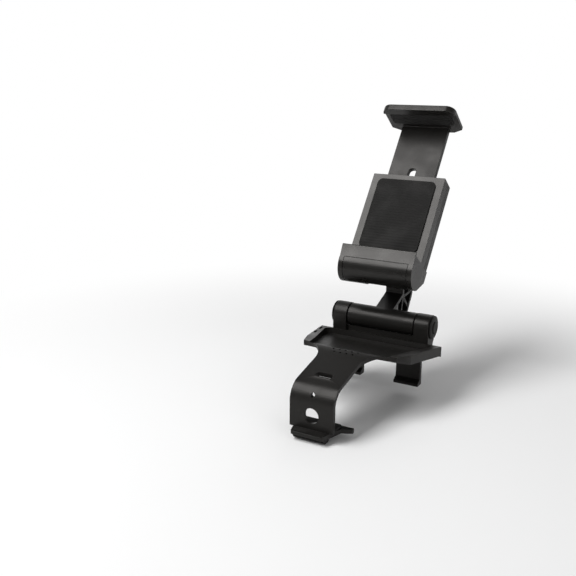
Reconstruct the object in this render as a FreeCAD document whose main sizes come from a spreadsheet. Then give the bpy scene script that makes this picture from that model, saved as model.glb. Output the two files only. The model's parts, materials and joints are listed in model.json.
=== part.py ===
# Clip in three moving parts: a saddle that hooks over its host, a hinged elbow arm and a sliding clamp.
# Millimetres, X to the right, Y from front to back, Z up.
# The origin is on the saddle's underside, on the mid-plane, at the crest between apron and tray.
import FreeCAD
import Part
import Sketcher
import math
import os
import re

DOC = FreeCAD.newDocument("phone_clip")

# Driving sizes: alias, value, meaning
SIZES = [
    ("wall", 2.0, "moulded wall of the saddle"),
    ("apron_half", 11.8, "half width of the apron"),
    ("apron_reach", 35.8, "apron front face, forward of the crest"),
    ("apron_slope", 14.4, "fall of the apron top towards the front, degrees"),
    ("apron_bend", 10.0, "outer radius where the apron turns down"),
    ("apron_drop", 27.2, "inner floor of the front hook, below the crest"),
    ("crest_round", 24.0, "outer radius over the crest"),
    ("well_radius", 14.4, "radius of the round cut-outs beside the apron"),
    ("well_set", 11.1, "centres of the round cut-outs, forward of the crest"),
    ("rim_slope", 6.3, "fall of the tray rims towards the back, degrees"),
    ("tray_start", 13.0, "front end of the tray, behind the crest"),
    ("tray_depth", 3.2, "tray floor below the rims"),
    ("tray_front_half", 24.7, "half width of the tray at its front"),
    ("tray_back_half", 30.9, "half width of the tray at its back"),
    ("tray_corner", 4.0, "corner radius of the tray"),
    ("tray_end", 39.3, "back wall of the tray"),
    ("cap_front_half", 29.7, "half width of the cap at the tray's front"),
    ("cap_back_half", 35.5, "half width of the cap at its back"),
    ("cap_corner_y", 41.0, "where the cap is widest"),
    ("skirt_y", 44.0, "outer face of the back skirt"),
    ("skirt_wall", 2.2, "wall of the back skirt"),
    ("skirt_drop", 27.0, "lower end of the back legs, below the crest"),
    ("leg_inner", 10.0, "inner edge of a back leg"),
    ("leg_outer", 24.0, "outer edge of a back leg"),
    ("barb", 3.0, "inward reach of the back hooks"),
    ("hook_wall", 2.2, "thickness of the front hook"),
    ("hook_end", 24.0, "back end of the front hook, forward of the crest"),
    ("hook_half", 17.0, "half width of the front hook at its back end"),
    ("tab_reach", 40.2, "front edge of the release tab"),
    ("tab_half", 8.6, "half width of the release tab at its front"),
    ("tab_depth", 4.6, "height of the release tab's front"),
    ("ridge", 0.5, "height of the grip ridges on the tab"),
    ("ridge_pitch", 1.15, "spacing of the grip ridges"),
    ("hinge_y", 46.2, "base hinge axis, behind the crest"),
    ("hinge_z", 5.3, "base hinge axis, above the crest's underside"),
    ("ear_radius", 6.6, "radius of the base hinge ears"),
    ("ear_inner", 20.0, "inner face of a base hinge ear"),
    ("ear_width", 8.2, "thickness of a base hinge ear"),
    ("gusset_angle", 30.0, "where the ear's back leaves its round, degrees"),
    ("bolt_radius", 2.0, "shank of the hinge bolt and of the tilt pin"),
    ("bore_gap", 0.05, "running clearance round a shank"),
    ("seat_gap", 0.02, "clearance of a bush or plug in its seat"),
    ("face_gap", 0.15, "running clearance between hinge faces"),
    ("head_radius", 3.6, "head of the hinge bolt"),
    ("head_height", 2.4, "height of the bolt head"),
    ("head_seat", 4.0, "radius of the pocket for the bolt head"),
    ("pocket_depth", 4.6, "depth of the head and nut pockets"),
    ("nut_flats", 7.0, "width across the flats of the nut"),
    ("nut_height", 3.0, "height of the nut"),
    ("flat_gap", 0.1, "clearance of the nut in its pocket"),
    ("cap_radius", 6.3, "radius of the hinge end caps"),
    ("cap_height", 1.4, "height of a hinge end cap's head"),
    ("cap_groove", 0.4, "width of the groove behind a hinge end cap"),
    ("cap_button", 3.4, "radius of the raised middle of a hinge end cap"),
    ("washer_thick", 0.5, "thickness of the friction washers"),
    ("washer_radius", 5.2, "radius of the friction washers"),
    ("collar_width", 1.7, "width of a friction collar"),
    ("collar_tooth", 0.9, "height of a collar's driving dog"),
    ("barrel_radius", 6.4, "radius of the arm's lower barrel"),
    ("bush_radius", 3.0, "outer radius of the hinge bushes"),
    ("tilt_radius", 5.6, "radius of the arm's upper barrel"),
    ("tilt_back", 7.4, "tilt axis, forward of the base hinge axis"),
    ("tilt_rise", 29.6, "tilt axis, above the base hinge axis"),
    ("neck_half", 5.1, "half width of the arm's neck"),
    ("neck_front", 13.4, "front wall of the neck, behind the base hinge axis"),
    ("neck_depth", 14.4, "front wall to back wall of the neck"),
    ("neck_rise", 22.5, "rise of the lower leg, degrees"),
    ("neck_top", 5.8, "lower leg's top, above the base hinge axis"),
    ("neck_low", 6.2, "lower leg's underside, below the base hinge axis"),
    ("neck_heel", 21.3, "heel of the neck, behind the base hinge axis"),
    ("heel_fall", 1.1, "heel of the neck, below the base hinge axis"),
    ("upper_fall", 15.0, "fall of the upper leg's underside, degrees"),
    ("crown_fall", 11.9, "fall of the upper leg's top, degrees"),
    ("upper_low", 4.6, "upper leg's underside, below the tilt axis"),
    ("upper_top", 4.0, "upper leg's top, above the tilt axis"),
    ("web_half", 1.2, "half thickness of the neck's middle web"),
    ("flange", 1.9, "flange round the neck"),
    ("rib", 1.5, "thickness of the neck's ribs"),
    ("lean", 36.87, "lean of the clamp at rest, degrees from upright"),
    ("jaw_half", 21.0, "half width of the clamp and its jaws"),
    ("cheek", 2.6, "thickness of the clamp's cheeks"),
    ("jaw_radius", 8.5, "round of the lower jaw"),
    ("cover_wall", 1.8, "wall of the lower jaw's front cover"),
    ("seam_w", 1.9, "seam of the front cover, above the tilt axis"),
    ("seam_gap", 0.25, "width of the seams"),
    ("shelf_w", 7.1, "shelf of the lower jaw, above the tilt axis"),
    ("lip_inner", 8.2, "inner face of the lower lip, forward of the tilt axis"),
    ("lip_thick", 3.0, "thickness of the lower lip"),
    ("lip_w", 9.8, "top of the lower lip, above the tilt axis"),
    ("pad_thick", 0.8, "thickness of the rubber pads"),
    ("front_wall", 2.0, "wall of the clamp's front shell"),
    ("split_v", 7.0, "joint between the clamp's shells, behind the tilt axis"),
    ("back_v", 12.5, "back face of the clamp"),
    ("back_wall", 1.8, "wall of the clamp's back shell"),
    ("clamp_top", 58.0, "top of the clamp housing, above the tilt axis"),
    ("chin_w", 7.3, "lower end of the back shell's box, above the tilt axis"),
    ("slot_half", 5.8, "half width of the slot for the arm"),
    ("slot_top", 14.4, "top of the slot for the arm"),
    ("plate_half", 13.9, "half width of the sliding plate"),
    ("plate_thick", 3.0, "thickness of the sliding plate"),
    ("slide_gap", 0.3, "clearance round the sliding plate"),
    ("plate_low", 28.0, "lower end of the sliding plate"),
    ("grip_w", 91.2, "underside of the upper jaw, above the tilt axis"),
    ("jaw_thick", 2.4, "thickness of the upper jaw"),
    ("jaw_reach", 15.2, "front edge of the upper jaw, forward of the tilt axis"),
    ("jaw_lip", 1.2, "drop of the upper jaw's lip"),
    ("jaw_corner", 5.0, "front corners of the upper jaw"),
    ("stop_radius", 1.8, "radius of the stop pin"),
    ("stop_w", 45.0, "stop pin, above the tilt axis"),
    ("travel_in", 17.0, "travel of the upper jaw inwards"),
    ("travel_out", 12.0, "travel of the upper jaw outwards"),
    ("screw_x", 17.6, "housing screws from the mid-plane"),
    ("screw_low", 22.0, "lower housing screws, above the tilt axis"),
    ("screw_high", 51.0, "upper housing screws, above the tilt axis"),
    ("screw_radius", 1.1, "shank of the housing screws"),
    ("screw_head", 2.1, "head radius of the housing screws"),
    ("screw_length", 8.0, "shank length of the housing screws"),
    ("shoe_x", 8.6, "brake shoes from the mid-plane"),
    ("shoe_w", 51.2, "middle of the brake shoes, above the tilt axis"),
    ("shoe_side", 5.0, "width of a brake shoe"),
    ("shoe_thick", 2.2, "thickness of a brake shoe"),
    ("spring_thick", 0.4, "thickness of the brake's leaf spring"),
    ("liner_thick", 1.0, "thickness of the saddle's liners"),
    ("jack_radius", 3.9, "radius of the headphone hole"),
    ("jack_z", 20.1, "headphone hole, below the crest"),
    ("mic_radius", 1.1, "radius of the microphone hole"),
    ("mic_z", 10.0, "microphone hole, below the crest"),
    ("mute_y", 22.9, "mute slot, forward of the crest"),
    ("mute_half", 4.7, "half length of the mute slot"),
    ("mute_radius", 1.6, "end radius of the mute slot"),
    ("dot_radius", 0.6, "radius of the speaker holes"),
    ("dot_pitch", 3.4, "spacing of the speaker holes"),
    ("dot_y", 1.6, "middle of the speaker holes, forward of the crest"),
    ("dot_rows", 2.7, "distance between the two rows of speaker holes"),
    ("ledge", 0.35, "height of the ledge along the mute slot"),
    ("cradle_gap", 0.35, "clearance between the lower barrel and its cradle"),
    ("cradle_reach", 4.7, "front of the cradle, forward of the base hinge axis"),
    ("slot_low_y", 24.4, "front slot in the left rim, behind the crest"),
    ("slot_high_y", 34.4, "back slot in the left rim, behind the crest"),
    ("rim_slot", 5.0, "length of a slot in the left rim"),
    ("rim_slot_width", 1.3, "width of a slot in the left rim"),
    ("rim_slot_edge", 0.6, "rim left outside a slot"),
]


class Sheet:
    """The driving sizes on one page, and a page of worked formulas for each piece."""

    def __init__(self, doc, rows):
        self.doc = doc
        self.sizes = doc.addObject("Spreadsheet::Sheet", "Sizes")
        self.names = set()
        for alias, value, meaning in rows:
            self.add_size(alias, str(value), meaning)
        self.sizes.recompute()
        self.open("shared")

    def add_size(self, alias, content, meaning):
        """Add a driving size, or one worked from other sizes."""
        number = len(self.names) + 1
        self.sizes.set(f"A{number}", meaning)
        self.sizes.set(f"B{number}", content)
        self.sizes.setAlias(f"B{number}", alias)
        self.names.add(alias)

    def open(self, label):
        """Start the page of formulas of the next piece."""
        self.page = self.doc.addObject("Spreadsheet::Sheet", f"{label}_sums")
        self.known = {}

    def cell(self, formula):
        """Return the alias of the cell that holds a formula, and add the cell if it is new."""
        formula = str(formula)
        if formula not in self.known:
            number = len(self.known) + 1
            alias = f"sum_{number}"
            full = re.sub(r"[a-z_]+", lambda word: self.full_name(word.group()), formula)
            self.page.set(f"A{number}", f"={full}")
            self.page.setAlias(f"A{number}", alias)
            self.page.recompute()
            self.known[formula] = alias
        return self.known[formula]

    def full_name(self, word):
        """Return the full name of a size; other words stay as they are."""
        return f"Sizes.{word}" if word in self.names else word

    def value(self, formula):
        """Return what a formula comes to."""
        return float(self.page.get(self.cell(formula)))

    def bind(self, item, name, formula):
        """Tie a property of an object to a formula."""
        alias = self.cell(formula)
        item.setExpression(name, f"{self.page.Name}.{alias}")


SHEET = Sheet(DOC, SIZES)
# Lengths that several pieces share
SHEET.add_size("barrel_half", "=ear_inner - washer_thick - face_gap - collar_width - 0.02", "half length of the lower barrel")
SHEET.add_size("tilt_half", "=jaw_half - cheek - washer_thick - face_gap", "half length of the upper barrel")
SHEET.sizes.recompute()



def new_body(label):
    """Return a new, empty body."""
    SHEET.open(label)
    body = DOC.addObject("PartDesign::Body", label)
    body.Label = label
    return body


def outline(body, name, plane, loops, lift="0"):
    """Return a sketch of closed loops on one of the body's planes.

    A loop is a list of corners (x, y), or (x, y, radius, turn) where an arc leads on to the next corner,
    with turn 1 for an anticlockwise arc and -1 for a clockwise one, or ("circle", x, y, radius).
    """
    sketch = body.newObject("Sketcher::SketchObject", name)
    base = [item for item in body.Origin.OriginFeatures if item.Role == plane][0]
    sketch.AttachmentSupport = (base, [""])
    sketch.MapMode = "FlatFace"
    if lift != "0":
        SHEET.bind(sketch, "AttachmentOffset.Base.z", lift)
    for loop in loops:
        if loop[0] == "circle":
            add_circle(sketch, *loop[1:])
        else:
            add_loop(sketch, loop)
    return sketch


def hold(sketch, item, end, x, y):
    """Fix a point of the sketch at two formulas."""
    for kind, formula in (("DistanceX", x), ("DistanceY", y)):
        number = sketch.addConstraint(Sketcher.Constraint(kind, -1, 1, item, end, SHEET.value(formula)))
        SHEET.bind(sketch, f"Constraints[{number}]", formula)


def hold_radius(sketch, item, radius):
    """Fix the radius of an arc or a circle."""
    number = sketch.addConstraint(Sketcher.Constraint("Radius", item, SHEET.value(radius)))
    SHEET.bind(sketch, f"Constraints[{number}]", radius)


def add_circle(sketch, x, y, radius):
    """Add a circle to a sketch."""
    middle = FreeCAD.Vector(SHEET.value(x), SHEET.value(y), 0)
    item = sketch.addGeometry(Part.Circle(middle, FreeCAD.Vector(0, 0, 1), SHEET.value(radius)))
    hold(sketch, item, 3, x, y)
    hold_radius(sketch, item, radius)


def add_loop(sketch, corners):
    """Add a closed loop of lines and arcs to a sketch."""
    points = [FreeCAD.Vector(SHEET.value(c[0]), SHEET.value(c[1]), 0) for c in corners]
    items = []
    ends = []
    for here, corner in enumerate(corners):
        start = points[here]
        end = points[(here + 1) % len(points)]
        if len(corner) == 2:
            items.append(sketch.addGeometry(Part.LineSegment(start, end)))
            ends.append((1, 2))
            continue
        radius = SHEET.value(corner[2])
        chord = end - start
        rise = radius - math.sqrt(max(radius ** 2 - (chord.Length / 2) ** 2, 0))
        side = FreeCAD.Vector(chord.y, -chord.x, 0).normalize() * corner[3]
        middle = (start + end) * 0.5 + side * rise
        items.append(sketch.addGeometry(Part.Arc(start, middle, end)))
        ends.append((1, 2) if corner[3] > 0 else (2, 1))
    for here, item in enumerate(items):
        after = (here + 1) % len(items)
        sketch.addConstraint(Sketcher.Constraint("Coincident", item, ends[here][1], items[after], ends[after][0]))
    for here, item in enumerate(items):
        hold(sketch, item, ends[here][0], corners[here][0], corners[here][1])
        if len(corners[here]) > 2:
            hold_radius(sketch, item, corners[here][2])


def feature(kind, body, name, sketch, length, symmetric=False, backwards=False):
    """Add a pad or a pocket of a sketch to its body."""
    item = body.newObject(f"PartDesign::{kind}", name)
    item.Profile = sketch
    SHEET.bind(item, "Length", length)
    if symmetric:
        item.SideType = "Symmetric"
    item.Reversed = backwards
    sketch.Visibility = False
    return item


def pad(body, name, plane, loops, length, lift="0", symmetric=False, backwards=False):
    """Sketch and pad."""
    return feature("Pad", body, name, outline(body, f"{name}_lines", plane, loops, lift), length, symmetric, backwards)


def pocket(body, name, plane, loops, length, lift="0", symmetric=False, backwards=False):
    """Sketch and pocket; the volume has to fall."""
    DOC.recompute()
    before = body.Shape.Volume
    sketch = outline(body, f"{name}_lines", plane, loops, lift)
    item = feature("Pocket", body, name, sketch, length, symmetric, backwards)
    DOC.recompute()
    if not body.Shape.Volume < before - 1e-6:
        raise ValueError(f"{name} cuts nothing")
    return item


def soften(body, name, kind, size, wanted):
    """Fillet or chamfer the edges of a body that a test picks; the test gets an edge and its middle."""
    DOC.recompute()
    names = []
    for number, edge in enumerate(body.Shape.Edges, 1):
        middle = edge.valueAt((edge.FirstParameter + edge.LastParameter) / 2)
        if wanted(edge, middle):
            names.append(f"Edge{number}")
    if not names:
        raise ValueError(f"{name} finds no edge")
    item = body.newObject(f"PartDesign::{kind}", name)
    item.Base = (body.Tip if body.Tip != item else item.BaseFeature, names)
    SHEET.bind(item, "Radius" if kind == "Fillet" else "Size", size)
    DOC.recompute()
    return item


def near(value, formula, slack=0.05):
    """Tell whether a value equals a formula."""
    return abs(value - SHEET.value(formula)) < slack


def along_x(edge):
    """Tell whether an edge runs along X."""
    ends = [vertex.Point for vertex in edge.Vertexes]
    return len(ends) == 2 and abs(ends[0].y - ends[1].y) < 1e-4 and abs(ends[0].z - ends[1].z) < 1e-4


def mirrored(half):
    """Return a loop made of a right half and its mirror image; arcs keep their radius and turn."""
    loop = list(half)
    for here in range(len(half) - 1, -1, -1):
        corner = half[here]
        arc = half[here - 1][2:] if here > 0 else ()
        loop.append((f"-({corner[0]})", corner[1]) + tuple(arc))
    return loop


def box_loop(x_low, x_high, y_low, y_high):
    """Return a rectangle."""
    return [(x_low, y_low), (x_high, y_low), (x_high, y_high), (x_low, y_high)]


def turned(label, plane, loop, length, lift):
    """Return a plain body of one pad."""
    body = new_body(label)
    pad(body, f"{label}_pad", plane, loop, length, lift)
    return body


# Lines of the saddle in the side view, as formulas of y

def apron_top(y):
    """Height of the apron's top."""
    return f"(wall + ({y}) * tan(apron_slope))"


def rim_top(y):
    """Height of the rims' top."""
    return f"(wall - ({y}) * tan(rim_slope))"


def tray_floor(y):
    """Height of the tray's floor."""
    return f"({rim_top(y)} - tray_depth)"


def tray_under(y):
    """Height of the cap's underside."""
    return f"({rim_top(y)} - tray_depth - wall)"


def base_moulding():
    """Side profile of the saddle, trimmed to its plan and opened for the charging port."""
    body = new_body("saddle_base")
    inner_y = "(skirt_y - skirt_wall)"
    side = [
        ("-apron_reach", "-apron_drop"),
        ("-(apron_reach - wall)", "-apron_drop"),
        ("-(apron_reach - wall)", f"({apron_top('-(apron_reach - wall)')} - wall)"),
        ("0", "0"),
        ("tray_start", tray_under("tray_start")),
        (inner_y, tray_under(inner_y)),
        (inner_y, "-(skirt_drop - 3.2)"),
        (f"({inner_y} - barb)", "-(skirt_drop - 1.4)"),
        (f"({inner_y} - barb)", "-skirt_drop"),
        ("skirt_y", "-skirt_drop"),
        ("skirt_y", rim_top("skirt_y")),
        ("0", "wall"),
        ("-apron_reach", apron_top("-apron_reach")),
    ]
    pad(body, "side", "YZ_Plane", [side], "2 * cap_back_half", symmetric=True)

    def on_line(y, z):
        return lambda edge, middle: along_x(edge) and near(middle.y, y) and near(middle.z, z)

    soften(body, "bend_outside", "Fillet", "apron_bend", on_line("-apron_reach", apron_top("-apron_reach")))
    soften(body, "bend_inside", "Fillet", "apron_bend - wall",
           on_line("-(apron_reach - wall)", f"({apron_top('-(apron_reach - wall)')} - wall)"))
    soften(body, "crest_outside", "Fillet", "crest_round", on_line("0", "wall"))
    soften(body, "skirt_outside", "Fillet", "2 * skirt_wall", on_line("skirt_y", rim_top("skirt_y")))
    soften(body, "skirt_inside", "Fillet", "skirt_wall", on_line(inner_y, tray_under(inner_y)))
    wing = "(apron_half + well_radius)"
    half = [
        ("apron_half", "-(apron_reach + 1)"),
        ("apron_half", "-well_set", "well_radius", -1),
        (wing, "(well_radius - well_set)"),
        ("cap_front_half", "tray_start"),
        ("cap_back_half", "cap_corner_y"),
        ("(cap_back_half - 2)", "(skirt_y + 1)"),
    ]
    frame = box_loop("-(cap_back_half + 2)", "(cap_back_half + 2)", "-(apron_reach + 5)", "(skirt_y + 5)")
    pocket(body, "plan", "XY_Plane", [frame, mirrored(half)], "4 * skirt_drop", symmetric=True)
    low = "-(skirt_drop + 1)"
    for name, x_low, x_high in (
        ("port_gap", "-leg_inner", "leg_inner"),
        ("side_gap_left", "-(cap_back_half + 1)", "-leg_outer"),
        ("side_gap_right", "leg_outer", "(cap_back_half + 1)"),
    ):
        pocket(body, name, "XZ_Plane", [box_loop(x_low, x_high, low, tray_under("(skirt_y + 3)"))], "8",
               lift="-(skirt_y + 1)", backwards=True)
    return body


def tray_tool():
    """The hollow of the tray: its plan, cut by its side view."""
    plan = new_body("tray_plan")
    corner_y = "(tray_end - tray_corner)"
    half = [
        ("(tray_front_half - 3)", "-1"),
        ("tray_front_half", "tray_start"),
        ("tray_back_half", corner_y, "tray_corner", 1),
        ("(tray_back_half - tray_corner)", "tray_end"),
    ]
    pad(plan, "tray_plan_pad", "XY_Plane", [mirrored(half)], "40", symmetric=True)
    side = new_body("tray_side")
    loop = [
        ("0", "wall"),
        ("tray_start", tray_floor("tray_start")),
        ("(tray_end + 1)", tray_floor("(tray_end + 1)")),
        ("(tray_end + 1)", "wall + 8"),
        ("0", "wall + 8"),
    ]
    pad(side, "tray_side_pad", "YZ_Plane", [loop], "2 * cap_back_half", symmetric=True)
    tool = DOC.addObject("Part::MultiCommon", "tray_hollow")
    tool.Shapes = [plan, side]
    return tool


def front_hook():
    """Front hook and release tab with its grip ridges."""
    body = new_body("hook_and_tab")
    half = [
        ("tab_half", "-tab_reach"),
        ("(hook_half - 5)", "-(hook_end + 4)"),
        ("hook_half", "-(hook_end + 1.6)"),
        ("hook_half", "-hook_end"),
    ]
    pad(body, "hook_plate", "XY_Plane", [mirrored(half)], "hook_wall", lift="-(apron_drop + hook_wall)")
    low = "-(apron_drop + tab_depth)"
    tab = [
        ("-(tab_reach)", "-(apron_drop - 0.2)"),
        ("-(tab_reach - 2.4)", low),
        ("-(tab_reach - 5.6)", low),
        ("-(tab_reach - 8.4)", "-(apron_drop + hook_wall - 0.3)"),
        ("-(tab_reach - 8.4)", "-(apron_drop + 0.3)"),
        ("-(apron_reach - 0.4)", "-(apron_drop + 0.3)"),
        ("-(apron_reach - 0.4)", "-(apron_drop - 0.2)"),
    ]
    pad(body, "tab", "YZ_Plane", [tab], "2 * tab_half", symmetric=True)
    for number in range(4):
        drop = f"(apron_drop + {number} * ridge_pitch)"
        y = f"(tab_reach - ({number} * ridge_pitch + 0.2) * 2.4 / (tab_depth + 0.2))"
        bar = [
            (f"-({y} - 1)", f"-({drop} + 0.1)"),
            (f"-({y} + ridge)", f"-({drop} + 0.1)"),
            (f"-({y} + ridge - 0.15)", f"-({drop} + 0.62)"),
            (f"-({y} - 1)", f"-({drop} + 0.62)"),
        ]
        pad(body, f"ridge_{number + 1}", "YZ_Plane", [bar], "2 * (tab_half - 0.8)", symmetric=True)
    return body


def hinge_ears():
    """The two base hinge ears with their gussets."""
    body = new_body("base_ears")
    back_y = "(hinge_y + ear_radius * cos(gusset_angle))"
    back_z = "(hinge_z - ear_radius * sin(gusset_angle))"
    foot_z = f"({back_z} - ({back_y} - skirt_y) / tan(gusset_angle))"
    loop = [
        ("(hinge_y + ear_radius)", "hinge_z", "ear_radius", 1),
        ("hinge_y", "(hinge_z + ear_radius)", "ear_radius", 1),
        ("(hinge_y - ear_radius)", "hinge_z"),
        ("(hinge_y - ear_radius)", tray_floor("hinge_y")),
        ("(skirt_y - skirt_wall / 2)", foot_z),
        ("skirt_y", foot_z),
        (back_y, back_z, "ear_radius", 1),
    ]
    pad(body, "ear_pad", "YZ_Plane", [loop], "2 * (ear_inner + ear_width)", symmetric=True)
    gap = box_loop("(hinge_y - ear_radius - 1)", "(hinge_y + ear_radius + 1)", "-(skirt_drop)", "(hinge_z + 2 * ear_radius)")
    pocket(body, "ear_gap", "YZ_Plane", [gap], "2 * ear_inner", symmetric=True)
    reach = "(barrel_radius + cradle_gap)"
    front_y = "(hinge_y - cradle_reach)"
    cradle = [
        (front_y, tray_floor(front_y)),
        ("skirt_y", tray_floor("skirt_y")),
        ("skirt_y", f"(hinge_z - sqrt({reach} ^ 2 - (hinge_y - skirt_y) ^ 2))", reach, -1),
        (front_y, f"(hinge_z - sqrt({reach} ^ 2 - cradle_reach ^ 2))"),
    ]
    pad(body, "cradle", "YZ_Plane", [cradle], "2 * (ear_inner + 0.5)", symmetric=True)
    outer = "(ear_inner + ear_width)"
    soften(body, "ear_round", "Fillet", "0.8",
           lambda edge, middle: near(abs(middle.x), outer) and middle.z > SHEET.value("hinge_z - ear_radius / 2"))
    return body


def rim_edge(y):
    """Half width of the cap between its front and its widest place."""
    return f"(cap_front_half + ({y} - tray_start) * (cap_back_half - cap_front_half) / (cap_corner_y - tray_start))"


def rim_slots():
    """Tool for the two slots along the outer edge of the left rim."""
    body = new_body("rim_slot_way")
    loops = []
    for middle in ("slot_low_y", "slot_high_y"):
        front, back = f"({middle} - rim_slot / 2)", f"({middle} + rim_slot / 2)"
        loops.append([
            (f"-({rim_edge(front)} - rim_slot_edge)", front),
            (f"-({rim_edge(front)} - rim_slot_edge - rim_slot_width)", front),
            (f"-({rim_edge(back)} - rim_slot_edge - rim_slot_width)", back),
            (f"-({rim_edge(back)} - rim_slot_edge)", back),
        ])
    pad(body, "slots", "XY_Plane", loops, "8", lift=f"({rim_top('slot_high_y')} - 1.5)")
    return body


def mute_ledge():
    """Low ledge along the front of the mute slot."""
    body = new_body("mute_ledge")
    near_y, far_y = "-(mute_y + mute_radius + 0.2)", "-(mute_y + mute_radius + 1.1)"
    loop = [
        (far_y, f"({apron_top(far_y)} - 0.5)"),
        (near_y, f"({apron_top(near_y)} - 0.5)"),
        (near_y, f"({apron_top(near_y)} + ledge)"),
        (f"({far_y} + 0.3)", f"({apron_top(far_y)} + ledge)"),
        (far_y, apron_top(far_y)),
    ]
    pad(body, "ledge_bar", "YZ_Plane", [loop], "2 * (mute_half - 0.4)", symmetric=True)
    return body


def saddle():
    """The whole saddle moulding, with its holes."""
    solid = DOC.addObject("Part::MultiFuse", "saddle_solid")
    solid.Shapes = [base_moulding(), front_hook(), hinge_ears(), mute_ledge()]
    cutters = [tray_tool(), rim_slots()]
    SHEET.open("saddle_holes")
    cutters.append(rod("bolt_way", "hinge_y", "hinge_z", "(bolt_radius + bore_gap)", "-(ear_inner + ear_width + 1)",
                       "2 * (ear_inner + ear_width + 1)"))
    pocket_x = "(ear_inner + ear_width - pocket_depth)"
    cutters.append(rod("head_way", "hinge_y", "hinge_z", "head_seat", pocket_x, "pocket_depth + 1"))
    cutters.append(hexagon("nut_way", "(nut_flats / 2 + flat_gap)", "-(ear_inner + ear_width + 1)", "pocket_depth + 1"))
    cutters.append(rod("jack_way", "-(apron_reach + 1)", "0", "jack_radius", "-jack_z", "wall + 2", turn="y"))
    cutters.append(rod("mic_way", "-(apron_reach + 1)", "0", "mic_radius", "-mic_z", "wall + 5", turn="y"))
    for row, count, shift in (("a", 5, "0"), ("b", 4, "0.5")):
        for number in range(count):
            x = f"(({number} - 2 + {shift}) * dot_pitch)"
            y = "-dot_y + dot_rows / 2" if row == "a" else "-dot_y - dot_rows / 2"
            cutters.append(rod(f"dot_way_{row}{number + 1}", x, y, "dot_radius", "-4", "12", turn="z"))
    slot = new_body("mute_way")
    span = "(mute_half - mute_radius)"
    loop = [
        (f"-{span}", "-(mute_y + mute_radius)"),
        (span, "-(mute_y + mute_radius)", "mute_radius", 1),
        ("mute_half", "-mute_y", "mute_radius", 1),
        (span, "-(mute_y - mute_radius)"),
        (f"-{span}", "-(mute_y - mute_radius)", "mute_radius", 1),
        ("-mute_half", "-mute_y", "mute_radius", 1),
    ]
    pad(slot, "mute_way_pad", "XY_Plane", [loop], "12", lift="-12")
    cutters.append(slot)
    shell = DOC.addObject("Part::Cut", "saddle_shell")
    shell.Label = "saddle_shell"
    tools = DOC.addObject("Part::MultiFuse", "saddle_cutters")
    tools.Shapes = cutters
    shell.Base = solid
    shell.Tool = tools
    return shell


def rod(label, first, second, radius, start, length, turn="x"):
    """A cylinder along X at (y, z), along Y at (x, z) or along Z at (x, y)."""
    item = DOC.addObject("Part::Cylinder", label)
    item.Label = label
    SHEET.bind(item, "Radius", radius)
    SHEET.bind(item, "Height", length)
    if turn == "x":
        item.Placement.Rotation = FreeCAD.Rotation(FreeCAD.Vector(0, 1, 0), 90)
        places = (start, first, second)
    elif turn == "y":
        item.Placement.Rotation = FreeCAD.Rotation(FreeCAD.Vector(1, 0, 0), -90)
        places = (second, first, start)
    else:
        places = (first, second, start)
    for axis, formula in zip("xyz", places):
        SHEET.bind(item, f"Placement.Base.{axis}", formula)
    return item


def hexagon(label, inner, start, length):
    """A hexagonal prism along X on the base hinge axis, by its inner radius."""
    item = DOC.addObject("Part::Prism", label)
    item.Label = label
    item.Polygon = 6
    SHEET.bind(item, "Circumradius", f"({inner}) / cos(30)")
    SHEET.bind(item, "Height", length)
    item.Placement.Rotation = FreeCAD.Rotation(FreeCAD.Vector(0, 1, 0), 90)
    for axis, formula in zip("xyz", (start, "hinge_y", "hinge_z")):
        SHEET.bind(item, f"Placement.Base.{axis}", formula)
    return item


def revolved(label, half, y, z):
    """A solid turned about an axis along X at (y, z); the half section is a list of (x, radius) corners."""
    body = new_body(label)
    sketch = outline(body, f"{label}_lines", "XY_Plane", [half])
    item = body.newObject("PartDesign::Revolution", f"{label}_turn")
    item.Profile = sketch
    item.ReferenceAxis = (sketch, ["H_Axis"])
    item.Angle = 360
    if y is not None:
        SHEET.bind(body, "Placement.Base.y", y)
        SHEET.bind(body, "Placement.Base.z", z)
    return body


def cut(label, base, *tools):
    """Return a base with tools taken away."""
    item = DOC.addObject("Part::Cut", label)
    item.Label = label
    item.Base = base
    if len(tools) == 1:
        item.Tool = tools[0]
        return item
    group = DOC.addObject("Part::MultiFuse", f"{label}_tools")
    group.Shapes = list(tools)
    item.Tool = group
    return item


def fuse(label, *parts):
    """Return several shapes as one."""
    item = DOC.addObject("Part::MultiFuse", label)
    item.Label = label
    item.Shapes = list(parts)
    return item


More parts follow.
